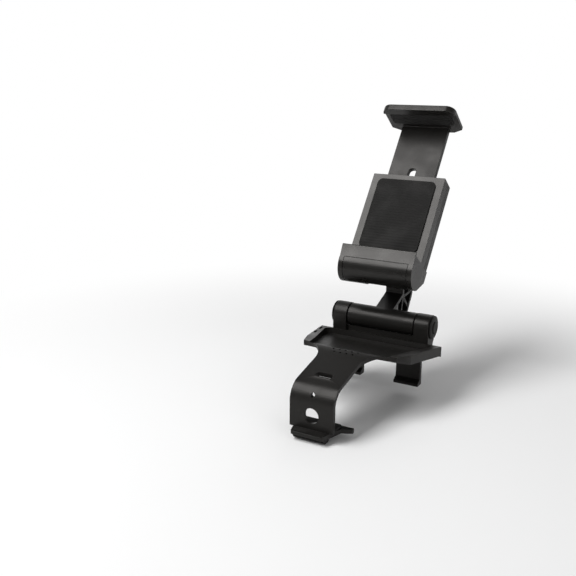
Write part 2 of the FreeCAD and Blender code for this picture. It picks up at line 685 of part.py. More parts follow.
def base_hinge():
    """Bolt, nut, washers, end caps, collars and bush of the base hinge."""
    SHEET.open("base_hinge")
    seat = "(ear_inner + ear_width - pocket_depth)"
    outer = "(ear_inner + ear_width)"
    nut_face = f"-({seat} + nut_height)"
    made = []
    made.append(revolved("hinge_bolt", [
        (f"{nut_face} - 0.6", "0"),
        (f"{nut_face} - 0.6", "bolt_radius"),
        (f"({seat} + washer_thick)", "bolt_radius"),
        (f"({seat} + washer_thick)", "head_radius"),
        (f"({seat} + washer_thick + head_height - 0.7)", "head_radius"),
        (f"({seat} + washer_thick + head_height)", "head_radius - 0.9"),
        (f"({seat} + washer_thick + head_height)", "0"),
    ], "hinge_y", "hinge_z"))
    made.append(revolved("hinge_spring_washer", [
        (seat, "(bolt_radius + bore_gap)"),
        (seat, "head_radius"),
        (f"({seat} + washer_thick)", "head_radius"),
        (f"({seat} + washer_thick)", "(bolt_radius + bore_gap)"),
    ], "hinge_y", "hinge_z"))
    block = hexagon("hinge_nut_block", "nut_flats / 2", nut_face, "nut_height")
    hole = rod("hinge_nut_hole", "hinge_y", "hinge_z", "(bolt_radius + seat_gap)", f"{nut_face} - 1", "nut_height + 2")
    made.append(cut("hinge_nut", block, hole))
    for side, sign in (("left", "-1"), ("right", "1")):
        far = f"{sign} * ({outer} + cap_groove + cap_height)"
        plug = "(nut_flats / 2 - flat_gap)" if side == "left" else "(head_seat - flat_gap)"
        made.append(revolved(f"hinge_cap_{side}", [
            (f"{sign} * ({outer} - 0.7)", "0"),
            (f"{sign} * ({outer} - 0.7)", plug),
            (f"{sign} * {outer}", plug),
            (f"{sign} * {outer}", "cap_radius - 1.3"),
            (f"{sign} * ({outer} + cap_groove)", "cap_radius - 1.3"),
            (f"{sign} * ({outer} + cap_groove)", "cap_radius"),
            (f"{sign} * ({outer} + cap_groove + cap_height * 0.2)", "cap_radius"),
            (f"{sign} * ({outer} + cap_groove + cap_height * 0.45)", "cap_radius - 1.0"),
            (f"{sign} * ({outer} + cap_groove + cap_height * 0.6)", "cap_button"),
            (f"{sign} * ({outer} + cap_groove + cap_height * 0.9)", "cap_button"),
            (far, "cap_button - 0.3"),
            (far, "0"),
        ], "hinge_y", "hinge_z"))
        inner_face = f"(ear_inner - washer_thick)"
        made.append(revolved(f"hinge_washer_{side}", [
            (f"{sign} * {inner_face}", "(bolt_radius + bore_gap)"),
            (f"{sign} * {inner_face}", "washer_radius"),
            (f"{sign} * ear_inner", "washer_radius"),
            (f"{sign} * ear_inner", "(bolt_radius + bore_gap)"),
        ], "hinge_y", "hinge_z"))
        face = f"(ear_inner - washer_thick - face_gap)"
        ring = revolved(f"collar_ring_{side}", [
            (f"{sign} * ({face} - collar_width)", "(bolt_radius + bore_gap)"),
            (f"{sign} * ({face} - collar_width)", "barrel_radius"),
            (f"{sign} * ({face} - 0.3)", "barrel_radius"),
            (f"{sign} * {face}", "barrel_radius - 0.3"),
            (f"{sign} * {face}", "(bolt_radius + bore_gap)"),
        ], "hinge_y", "hinge_z")
        start = f"({face} - collar_width - collar_tooth)" if side == "right" else f"-({face} - collar_width)"
        dog = DOC.addObject("Part::Box", f"collar_dog_{side}")
        for name, formula in (("Length", "collar_tooth"), ("Width", "1.6"), ("Height", "2"),
                              ("Placement.Base.x", start), ("Placement.Base.y", "hinge_y - 0.8"),
                              ("Placement.Base.z", "hinge_z + bush_radius + 0.4")):
            SHEET.bind(dog, name, formula)
        made.append(fuse(f"friction_collar_{side}", ring, dog))
    made.append(revolved("lower_bush", [
        ("-(barrel_half)", "(bolt_radius + bore_gap)"),
        ("-(barrel_half)", "(bush_radius - seat_gap)"),
        ("(barrel_half)", "(bush_radius - seat_gap)"),
        ("(barrel_half)", "(bolt_radius + bore_gap)"),
    ], "hinge_y", "hinge_z"))
    return made


# Lines of the arm in the side view, as formulas of the distance behind the base hinge axis

def lower_top(t):
    """Top of the lower leg."""
    return f"(neck_top / cos(neck_rise) + ({t}) * tan(neck_rise))"


def heel_line(t):
    """Underside of the lower leg."""
    return f"(-neck_low + ({t} - 1) * (neck_low - heel_fall) / (neck_heel - 1))"


def upper_under(t):
    """Underside of the upper leg."""
    return f"(tilt_rise - upper_low / cos(upper_fall) - ({t} + tilt_back) * tan(upper_fall))"


def upper_crown(t):
    """Top of the upper leg."""
    return f"(tilt_rise + upper_top / cos(crown_fall) - ({t} + tilt_back) * tan(crown_fall))"


def arm():
    """The elbow arm: two barrels and a ribbed neck, with their bores."""
    body = new_body("arm_solid")
    back = "(neck_front + neck_depth)"
    heel_z = "(-heel_fall)"
    loop = [
        ("-2", lower_top("-2")),
        ("1", "-neck_low"),
        ("neck_heel", heel_z),
        (back, "8.7"),
        (back, upper_crown(back)),
        ("-(tilt_back - 1)", upper_crown("-(tilt_back - 1)")),
        ("-(tilt_back + 1)", upper_under("-(tilt_back + 1)")),
        ("neck_front", upper_under("neck_front")),
        ("neck_front", lower_top("neck_front")),
    ]
    pad(body, "neck", "YZ_Plane", [loop], "2 * neck_half", symmetric=True)

    def at(t, height):
        return lambda edge, middle: along_x(edge) and near(middle.y, t) and near(middle.z, height)

    soften(body, "crown_round", "Fillet", "neck_depth - 2", at(back, upper_crown(back)))
    soften(body, "heel_round", "Fillet", "7", at(back, "8.7"))
    soften(body, "heel_round_low", "Fillet", "5", at("neck_heel", heel_z))
    soften(body, "throat_round", "Fillet", "4", at("neck_front", upper_under("neck_front")))
    inset = "(neck_half - web_half)"
    edge_t = "(barrel_radius + flange / 2)"
    upper_t = "(neck_front - 13)"
    hollow = [
        (edge_t, f"({lower_top(edge_t)} - flange / cos(neck_rise))"),
        (edge_t, f"({heel_line(edge_t)} + flange)"),
        (f"(neck_heel - flange / 2)", f"({heel_line('(neck_heel - flange / 2)')} + flange)"),
        (f"({back} - flange)", "9.6"),
        (f"({back} - flange)", f"({upper_crown(f'({back} - flange)')} - flange - 6)"),
        (f"({back} - flange - 6)", f"({upper_crown(f'({back} - flange - 6)')} - flange - 0.8)"),
        (upper_t, f"({upper_crown(upper_t)} - flange)"),
        (upper_t, f"({upper_under(upper_t)} + flange)"),
        ("(neck_front + flange)", f"({upper_under('(neck_front + flange)')} + flange)"),
        ("(neck_front + flange)", f"({lower_top('(neck_front + flange)')} - flange / cos(neck_rise))"),
    ]
    pocket(body, "hollow_right", "YZ_Plane", [hollow], inset, lift="web_half", backwards=True)
    pocket(body, "hollow_left", "YZ_Plane", [hollow], inset, lift="-web_half", backwards=False)
    knot = ("(neck_front + flange - 0.4)", f"({lower_top('neck_front')} - flange - 0.2)")
    ribs = [
        (knot, (f"({back} - 0.6)", "10.8")),
        (knot, ("(neck_heel + 2)", "1.4")),
        (knot, ("(neck_front - 1)", "-0.6")),
        (("(neck_front + 0.6)", f"({upper_under('neck_front')} + 1)"), (f"({back} - 4)", f"({upper_crown(back)} - 4)")),
        (("(neck_front + 0.6)", f"({upper_under('neck_front')} + 1)"), (f"({back} - 0.6)", "10.8")),
        ((f"({upper_t} + 6)", f"({upper_under(f'({upper_t} + 6)')} + 0.8)"),
         (f"(neck_front + 2)", f"({upper_crown('(neck_front + 2)')} - 0.8)")),
    ]
    for number, (start, end) in enumerate(ribs, 1):
        long_t = SHEET.value(f"{end[0]} - {start[0]}")
        long_z = SHEET.value(f"{end[1]} - {start[1]}")
        reach = math.hypot(long_t, long_z)
        side_t = f"({-long_z / reach:.4f} * rib / 2)"
        side_z = f"({long_t / reach:.4f} * rib / 2)"
        bar = [
            (f"({start[0]} + {side_t})", f"({start[1]} + {side_z})"),
            (f"({start[0]} - {side_t})", f"({start[1]} - {side_z})"),
            (f"({end[0]} - {side_t})", f"({end[1]} - {side_z})"),
            (f"({end[0]} + {side_t})", f"({end[1]} + {side_z})"),
        ]
        pad(body, f"rib_{number}", "YZ_Plane", [bar], "2 * (neck_half - 0.3)", symmetric=True)
    pad(body, "lower_barrel", "YZ_Plane", [[("circle", "0", "0", "barrel_radius")][0]], "2 * barrel_half", symmetric=True)
    pad(body, "upper_barrel", "YZ_Plane", [("circle", "-tilt_back", "tilt_rise", "tilt_radius")],
        "2 * tilt_half", symmetric=True)
    pocket(body, "lower_bore", "YZ_Plane", [("circle", "0", "0", "bush_radius")], "60", symmetric=True)
    pocket(body, "upper_bore", "YZ_Plane", [("circle", "-tilt_back", "tilt_rise", "bush_radius")], "60", symmetric=True)
    for side, lift, backwards in (("right", "barrel_half", False), ("left", "-barrel_half", True)):
        notch = box_loop("-0.9", "0.9", "bush_radius - 0.5", "bush_radius + 2.6")
        pocket(body, f"dog_notch_{side}", "YZ_Plane", [notch], "collar_tooth + 0.1", lift=lift, backwards=backwards)
    SHEET.bind(body, "Placement.Base.y", "hinge_y")
    SHEET.bind(body, "Placement.Base.z", "hinge_z")
    body.Label = "arm_link"
    return body


def lean(item):
    """Set a piece of the clamp on the tilt axis, leaning back."""
    item.Placement.Rotation = FreeCAD.Rotation(FreeCAD.Vector(1, 0, 0), -SHEET.value("lean"))
    SHEET.bind(item, "Placement.Rotation.Angle", "lean")
    item.setExpression("Placement.Rotation.Axis.x", "-1")
    SHEET.bind(item, "Placement.Base.y", "hinge_y - tilt_back")
    SHEET.bind(item, "Placement.Base.z", "hinge_z + tilt_rise")
    return item


def tilt_hinge():
    """Pin, plug, washers and bush of the tilt hinge, in the clamp's own frame."""
    cheek_in = "(jaw_half - cheek)"
    made = []
    made.append(revolved("tilt_pin", [
        ("-(jaw_half - 1.0)", "0"),
        ("-(jaw_half - 1.0)", "bolt_radius"),
        ("(jaw_half - 0.9)", "bolt_radius"),
        ("(jaw_half - 0.9)", "0"),
    ], None, None))
    made.append(revolved("tilt_plug", [
        ("-(jaw_half - 0.95)", "0"),
        ("-(jaw_half - 0.95)", "(bolt_radius + 1.2)"),
        ("-(jaw_half)", "(bolt_radius + 1.2)"),
        ("-(jaw_half)", "0"),
    ], None, None))
    for side, sign in (("left", "-1"), ("right", "1")):
        made.append(revolved(f"tilt_washer_{side}", [
            (f"{sign} * ({cheek_in} - washer_thick)", "(bolt_radius + bore_gap)"),
            (f"{sign} * ({cheek_in} - washer_thick)", "washer_radius"),
            (f"{sign} * {cheek_in}", "washer_radius"),
            (f"{sign} * {cheek_in}", "(bolt_radius + bore_gap)"),
        ], None, None))
    for item in made:
        lean(item)
    bush = revolved("upper_bush", [
        ("-tilt_half", "(bolt_radius + bore_gap)"),
        ("-tilt_half", "(bush_radius - seat_gap)"),
        ("tilt_half", "(bush_radius - seat_gap)"),
        ("tilt_half", "(bolt_radius + bore_gap)"),
    ], "hinge_y - tilt_back", "hinge_z + tilt_rise")
    made.append(bush)
    return made


def on_jaw_round(angle):
    """Point of the lower jaw's round at an angle from straight back, in degrees."""
    return f"(jaw_radius * cos({angle}))", f"(jaw_radius * sin({angle}))"


def clamp_front():
    """Front shell of the clamp, with the lower jaw, its cheeks and its lip."""
    body = new_body("clamp_front")
    seam_v = "-(sqrt(jaw_radius ^ 2 - seam_w ^ 2))"
    low_v, low_w = on_jaw_round(-50)
    side = [
        ("-(lip_inner + lip_thick)", "lip_w"),
        (seam_v, "seam_w", "jaw_radius", 1),
        ("-(jaw_radius * cos(60))", "-(jaw_radius * sin(60))", "jaw_radius", 1),
        (low_v, low_w),
        ("back_v", "0.6"),
        ("back_v", "(chin_w - seam_gap)"),
        ("split_v", "(chin_w - seam_gap)"),
        ("split_v", "clamp_top"),
        ("pad_thick", "clamp_top"),
        ("pad_thick", "shelf_w"),
        ("-lip_inner", "shelf_w"),
        ("-lip_inner", "lip_w"),
    ]
    pad(body, "side", "YZ_Plane", [side], "2 * jaw_half", symmetric=True)
    soften(body, "lip_edge", "Fillet", "1.1",
           lambda edge, middle: along_x(edge) and near(middle.z, "lip_w")
           and middle.y < -SHEET.value("lip_inner"))
    room = "(tilt_radius + slide_gap + 0.1)"
    room_v = f"(sqrt(({room}) ^ 2 - 3 ^ 2))"
    front_v = f"-(sqrt(({room}) ^ 2 - seam_w ^ 2))"
    barrel = [
        ("-(jaw_radius + 1)", "seam_w"),
        ("-(jaw_radius + 1)", "-(jaw_radius + 1)"),
        ("(back_v + 1)", "-(jaw_radius + 1)"),
        ("(back_v + 1)", "3"),
        (room_v, "3", room, 1),
        ("0", room, room, 1),
        (front_v, "seam_w"),
    ]
    pocket(body, "barrel_room", "YZ_Plane", [barrel], "2 * (jaw_half - cheek)", symmetric=True)
    slot = [
        ("1.0", "2.5"),
        ("(back_v + 1)", "2.5"),
        ("(back_v + 1)", "(slot_top + 0.3)"),
        ("(pad_thick + front_wall - 0.2)", "(shelf_w + 0.25)"),
        ("1.0", "(shelf_w - 0.8)"),
    ]
    pocket(body, "arm_slot", "YZ_Plane", [slot], "2 * slot_half", symmetric=True)
    skirt_way = box_loop("(back_v - back_wall - seam_gap)", "(back_v + 1)", "2.9", "chin_w")
    pocket(body, "skirt_way", "YZ_Plane", [skirt_way], "2 * (jaw_half - cheek)", symmetric=True)
    channel = box_loop("-(plate_half + slide_gap)", "(plate_half + slide_gap)", "(pad_thick + front_wall)", "(split_v + 1)")
    pocket(body, "channel", "XY_Plane", [channel], "clamp_top - chin_w", lift="clamp_top + 1", backwards=False)
    pocket(body, "pin_hole", "YZ_Plane", [("circle", "0", "0", "(bolt_radius + seat_gap)")],
           "2 * (jaw_half - 0.9)", symmetric=True)
    pocket(body, "pin_way", "YZ_Plane", [("circle", "0", "0", "(bolt_radius + seat_gap)")],
           "2", lift="-(jaw_half - 2)", backwards=False)
    pocket(body, "plug_seat", "YZ_Plane", [("circle", "0", "0", "(bolt_radius + 1.2 + seat_gap)")],
           "0.97", lift="-jaw_half", backwards=True)
    holes = [("circle", x, w, "(screw_radius + seat_gap)") for x in ("-screw_x", "screw_x")
             for w in ("screw_low", "screw_high")]
    pocket(body, "screw_pilots", "XZ_Plane", holes, "split_v - 2", lift="-split_v", backwards=True)
    pocket(body, "stop_seat", "XZ_Plane", [("circle", "0", "stop_w", "(stop_radius + seat_gap)")],
           "split_v - pad_thick - 0.8", lift="-split_v", backwards=True)
    return lean(body)


def front_cover():
    """Curved cover between the cheeks, with a notch for the arm."""
    body = new_body("jaw_front_cover")
    inner = "(jaw_radius - cover_wall)"
    seam = "(seam_w - seam_gap)"
    end_v, end_w = on_jaw_round(-62)
    arc = [
        (f"-(sqrt(jaw_radius ^ 2 - {seam} ^ 2))", seam, "jaw_radius", 1),
        ("-(jaw_radius * cos(60))", "-(jaw_radius * sin(60))", "jaw_radius", 1),
        (end_v, end_w),
        (f"({inner} * cos(-62))", f"({inner} * sin(-62))", inner, -1),
        (f"-({inner} * cos(60))", f"-({inner} * sin(60))", inner, -1),
        (f"-(sqrt({inner} ^ 2 - {seam} ^ 2))", seam),
    ]
    pad(body, "cover_arc", "YZ_Plane", [arc], "2 * (jaw_half - cheek - seam_gap)", symmetric=True)
    notch = box_loop("0.2", "jaw_radius", "-(jaw_radius + 1)", "0")
    pocket(body, "cover_notch", "YZ_Plane", [notch], "2 * slot_half", symmetric=True)
    return lean(body)


def clamp_back():
    """Back shell of the clamp: a box over the slide and a skirt over the hinge."""
    body = new_body("clamp_back")
    outer = box_loop("-jaw_half", "jaw_half", "chin_w", "clamp_top")
    pad(body, "box", "XZ_Plane", [outer], "back_v - split_v - seam_gap", lift="-back_v")
    soften(body, "back_edge", "Fillet", "1.6",
           lambda edge, middle: near(middle.y, "back_v") and middle.z > SHEET.value("chin_w + 1"))
    inner_w = "(slot_top + 1.5)"
    hollow = box_loop("-(plate_half + slide_gap)", "(plate_half + slide_gap)", inner_w, "(clamp_top - 4)")
    pocket(body, "hollow", "XZ_Plane", [hollow], "back_v - split_v - back_wall - seam_gap",
           lift="-(split_v + seam_gap)", backwards=False)
    skirt = [
        ("back_v", "(chin_w + 0.5)"),
        ("(back_v - back_wall)", "(chin_w + 0.5)"),
        ("(back_v - back_wall)", "1.4"),
        ("(back_v - back_wall - 5.6)", "-4.9"),
        ("(jaw_radius * cos(-52) + 0.2)", "(jaw_radius * sin(-52) + 0.1)"),
        ("back_v", "0.6"),
    ]
    pad(body, "skirt", "YZ_Plane", [skirt], "2 * (jaw_half - cheek - seam_gap)", symmetric=True)
    slot = box_loop("-slot_half", "slot_half", "-(jaw_radius + 1)", "slot_top")
    pocket(body, "arm_slot", "XZ_Plane", [slot], "back_v + 2", lift="0", backwards=False)
    heads = [("circle", x, w, "(screw_head + 0.2)") for x in ("-screw_x", "screw_x")
             for w in ("screw_low", "screw_high")]
    pocket(body, "head_seats", "XZ_Plane", heads, "2", lift="-back_v", backwards=True)
    ways = [("circle", x, w, "(screw_radius + 0.1)") for x in ("-screw_x", "screw_x")
            for w in ("screw_low", "screw_high")]
    pocket(body, "screw_ways", "XZ_Plane", ways, "back_v", lift="-back_v", backwards=True)
    pad(body, "stop_boss", "XZ_Plane", [("circle", "0", "stop_w", "(stop_radius + 1.4)")], "back_wall + 2.4",
        lift="-back_v")
    pocket(body, "stop_socket", "XZ_Plane", [("circle", "0", "stop_w", "(stop_radius + seat_gap)")],
           "back_v - split_v", lift="-(back_v - 1.2)", backwards=True)
    return lean(body)


def housing_parts():
    """Screws, stop pin, brake shoes, leaf spring and pads of the clamp."""
    made = []
    shanks = []
    SHEET.open("housing")
    seat = "(back_v - 2)"
    for side, x in (("left", "-screw_x"), ("right", "screw_x")):
        for level, w in (("low", "screw_low"), ("high", "screw_high")):
            name = f"screw_{side}_{level}"
            shanks.append(rod(f"{name}_shank", f"({seat} - screw_length)", x, "screw_radius", w, "screw_length + 0.2",
                              turn="y"))
            shanks.append(rod(f"{name}_head", seat, x, "screw_head", w, "1.5", turn="y"))
    made.append(fuse("housing_screws", *shanks))
    stop = new_body("stop_pin")
    pad(stop, "pin", "XZ_Plane", [("circle", "0", "stop_w", "stop_radius")], "back_v - pad_thick - 2.4", lift="-(back_v - 1.4)")
    made.append(stop)
    for side, sign in (("left", "-1"), ("right", "1")):
        body = new_body(f"brake_shoe_{side}")
        x = f"{sign} * shoe_x"
        loop = box_loop(f"({x} - shoe_side / 2)", f"({x} + shoe_side / 2)", "(shoe_w - shoe_side / 2)",
                        "(shoe_w + shoe_side / 2)")
        face = "(pad_thick + front_wall + slide_gap + plate_thick + face_gap)"
        pad(body, "shoe", "XZ_Plane", [loop], "shoe_thick", lift=f"-({face} + shoe_thick)")
        made.append(body)
    spring = new_body("brake_spring")
    low = "(pad_thick + front_wall + slide_gap + plate_thick + face_gap + shoe_thick + 0.02)"
    high = "(back_v - back_wall - 0.02)"
    half = "(shoe_x + shoe_side / 2)"
    arch = f"({high} - {low} - spring_thick)"
    bow = f"(({half} ^ 2 + {arch} ^ 2) / (2 * {arch}))"
    loop = [
        (half, low),
        (half, f"({low} + spring_thick)", bow, 1),
        (f"-{half}", f"({low} + spring_thick)"),
        (f"-{half}", low, bow, -1),
    ]
    pad(spring, "leaf", "XY_Plane", [loop], "shoe_side", lift="shoe_w - shoe_side / 2")
    made.append(spring)
    shelf = new_body("lower_jaw_pad")
    loop = box_loop("-(lip_inner - 0.1)", "(pad_thick - 0.1)", "shelf_w", "(shelf_w + pad_thick)")
    pad(shelf, "shelf_pad", "YZ_Plane", [loop], "2 * (jaw_half - 3)", symmetric=True)
    made.append(shelf)
    back = new_body("phone_back_pad")
    loop = box_loop("-(jaw_half - 4)", "(jaw_half - 4)", "(shelf_w + 5)", "(clamp_top - 3)")
    pad(back, "back_pad", "XZ_Plane", [loop], "pad_thick", lift="-pad_thick")
    soften(back, "back_pad_round", "Fillet", "3", lambda edge, middle: edge.Length < 1.0)
    made.append(back)
    return [lean(item) for item in made]


def slider():
    """Sliding plate and upper jaw in one moulding, with its rubber pad."""
    body = new_body("jaw_slider")
    face = "(pad_thick + front_wall + slide_gap)"
    rear = f"({face} + plate_thick)"
    plate = [
        ("-plate_half", "plate_low"),
        ("plate_half", "plate_low"),
        ("plate_half", "grip_w + 0.5"),
        ("-plate_half", "grip_w + 0.5"),
    ]
    pad(body, "plate", "XZ_Plane", [plate], "plate_thick", lift=f"-{rear}")
    half = [
        ("(jaw_half - jaw_corner)", "-jaw_reach", "jaw_corner", 1),
        ("jaw_half", "-(jaw_reach - jaw_corner)"),
        ("jaw_half", f"({rear} - 1)"),
        ("(plate_half + 2)", f"({rear} + 2)"),
    ]
    pad(body, "jaw", "XY_Plane", [mirrored(half)], "jaw_thick", lift="grip_w")
    lip_half = [
        ("(jaw_half - jaw_corner)", "-jaw_reach", "jaw_corner", 1),
        ("jaw_half", "-(jaw_reach - jaw_corner)"),
        ("(jaw_half - 3)", "-(jaw_reach - jaw_corner)"),
    ]
    pad(body, "lip", "XY_Plane", [mirrored(lip_half)], "jaw_lip + 0.5", lift="grip_w - jaw_lip")
    top = "(grip_w + jaw_thick)"
    soften(body, "jaw_top", "Fillet", "0.7", lambda edge, middle: near(middle.z, top))
    gusset = [
        (f"({rear} - 1)", "(grip_w - 12)"),
        (rear, "(grip_w - 12)"),
        (f"({rear} + 2)", "grip_w + 0.2"),
        (f"({rear} - 1)", "grip_w + 0.2"),
    ]
    for name, x in (("left", "-(plate_half - 2)"), ("right", "(plate_half - 3.6)")):
        pad(body, f"gusset_{name}", "YZ_Plane", [gusset], "1.6", lift=x)
    slot_low = "(stop_w - travel_out)"
    slot_high = "(stop_w + travel_in)"
    wide = "(stop_radius + slide_gap)"
    slot = [
        (f"-{wide}", slot_low, wide, 1),
        ("0", f"({slot_low} - {wide})", wide, 1),
        (wide, slot_low),
        (wide, slot_high, wide, 1),
        ("0", f"({slot_high} + {wide})", wide, 1),
        (f"-{wide}", slot_high),
    ]
    pocket(body, "stop_slot", "XZ_Plane", [slot], "20", symmetric=True)
    padding = new_body("upper_jaw_pad")
    loop = box_loop("-(jaw_half - 3)", "(jaw_half - 3)", "-(jaw_reach - jaw_corner - 0.4)", "-0.4")
    pad(padding, "grip_pad", "XY_Plane", [loop], "pad_thick", lift="grip_w - pad_thick")
    return [lean(body), lean(padding)]


def liners():
    """Soft liners under the saddle, where it sits on its host."""
    made = []
    for side, sign in (("left", "-"), ("right", "")):
        body = new_body(f"cap_liner_{side}")
        near_y = "(tray_start + 3)"
        far_y = "(skirt_y - skirt_wall - 4)"
        loop = [
            (near_y, f"({tray_under(near_y)} - liner_thick)"),
            (far_y, f"({tray_under(far_y)} - liner_thick)"),
            (far_y, tray_under(far_y)),
            (near_y, tray_under(near_y)),
        ]
        lift = "16" if side == "right" else "-24"
        pad(body, "liner", "YZ_Plane", [loop], "8", lift=lift)
        made.append(body)
    hook = new_body("hook_liner")
    loop = box_loop("-(hook_half - 6)", "(hook_half - 6)", "-(apron_reach - wall - 0.2)", "-(hook_end + 0.8)")
    pad(hook, "hook_pad", "XY_Plane", [loop], "liner_thick", lift="-apron_drop")
    made.append(hook)
    return made


PIECES = [saddle(), *liners(), *base_hinge(), arm()]
PIECES += [clamp_front(), front_cover(), clamp_back(), *tilt_hinge(), *housing_parts()]
PIECES += slider()
DOC.recompute()

for item in DOC.Objects:
    if "Invalid" in item.State or "Error" in item.State:
        raise ValueError(f"{item.Label} is {item.State}")
for piece in PIECES:
    if piece.Shape.isNull() or not piece.Shape.isValid():
        raise ValueError(f"{piece.Label} has no valid shape")

os.makedirs("parts", exist_ok=True)
for piece in PIECES:
    piece.Shape.exportStep(f"parts/{piece.Label}.step")
    print(f"{piece.Label:24s} solids {len(piece.Shape.Solids)} volume {piece.Shape.Volume:9.1f}")
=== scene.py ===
"""Looks of the clip: moulded finishes, rubber pads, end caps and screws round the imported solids."""

import json
import logging
import math
from dataclasses import dataclass
from enum import Enum
from typing import Callable, Optional, Sequence

import bmesh
import bpy
import numpy as np
from mathutils import Matrix, Vector

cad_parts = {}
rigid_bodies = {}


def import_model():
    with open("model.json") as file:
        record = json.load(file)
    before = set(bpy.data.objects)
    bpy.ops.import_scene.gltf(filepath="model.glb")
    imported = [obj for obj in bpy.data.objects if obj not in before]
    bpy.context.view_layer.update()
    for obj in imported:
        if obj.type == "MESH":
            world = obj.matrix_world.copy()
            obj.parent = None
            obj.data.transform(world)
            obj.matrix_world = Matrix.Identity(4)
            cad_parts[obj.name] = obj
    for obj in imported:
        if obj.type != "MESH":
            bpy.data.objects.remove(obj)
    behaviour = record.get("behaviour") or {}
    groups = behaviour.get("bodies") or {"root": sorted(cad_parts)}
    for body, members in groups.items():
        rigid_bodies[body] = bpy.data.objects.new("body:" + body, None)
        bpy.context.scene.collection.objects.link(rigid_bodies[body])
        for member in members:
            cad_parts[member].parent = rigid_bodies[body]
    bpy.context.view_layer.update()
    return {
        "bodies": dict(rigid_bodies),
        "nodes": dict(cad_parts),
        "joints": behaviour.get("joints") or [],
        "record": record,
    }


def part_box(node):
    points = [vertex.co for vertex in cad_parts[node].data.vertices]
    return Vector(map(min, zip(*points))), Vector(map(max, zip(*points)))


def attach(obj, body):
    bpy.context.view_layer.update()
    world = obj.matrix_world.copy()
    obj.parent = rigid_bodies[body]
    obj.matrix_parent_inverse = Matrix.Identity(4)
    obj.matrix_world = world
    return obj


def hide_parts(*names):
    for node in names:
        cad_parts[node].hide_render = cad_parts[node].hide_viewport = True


LOG = logging.getLogger("clip")
MM = 0.001

Points = np.ndarray
Faces = list[tuple[int, ...]]
Pair = tuple[float, float]
Triple = tuple[float, float, float]
Relief = Callable[[Points, Points], Points]

SCUFF_GAIN = 0.35
SCUFF_LIFT = 0.001
MERGE_GAP = 2e-6
FLAT_ANGLE = math.radians(0.6)
BEVEL_ANGLE = math.radians(38)
MOULDING_SMOOTH = math.radians(28)
SURFACE_SMOOTH = math.radians(35)


class Carrier(Enum):
    """The four rigid groups of the clip."""

    SADDLE = "saddle"
    ARM = "arm"
    CLAMP = "clamp"
    JAW = "jaw"


class Slot(Enum):
    """The record's material slots; each new piece names one."""

    MOULDING = "black_moulding"
    CAP = "satin_cap"
    PAD = "soft_pad"
    STEEL = "steel"


# Shader effects that several finishes share


class Wiring:
    """A node tree that is being wired."""

    def __init__(self, tree: bpy.types.NodeTree) -> None:
        """Keep the tree.

        Args:
            tree: the tree to add nodes to.
        """
        self.tree = tree
        self.column = 0

    def node(self, kind: str, **settings: object) -> bpy.types.Node:
        """Add a node.

        Args:
            kind: the node's type name.
            settings: the node's properties, and the values of its inputs. An input's name starts with a
                capital and has an underscore for each space.

        Returns:
            The new node.
        """
        made = self.tree.nodes.new(kind)
        made.location = (self.column * 180, 0)
        self.column += 1
        for name, value in settings.items():
            if name[0].isupper():
                made.inputs[name.replace("_", " ")].default_value = value
            else:
                setattr(made, name, value)
        return made

    def join(self, source: bpy.types.NodeSocket, target: bpy.types.NodeSocket) -> None:
        """Link two sockets.

        Args:
            source: the output.
            target: the input.
        """
        self.tree.links.new(source, target)


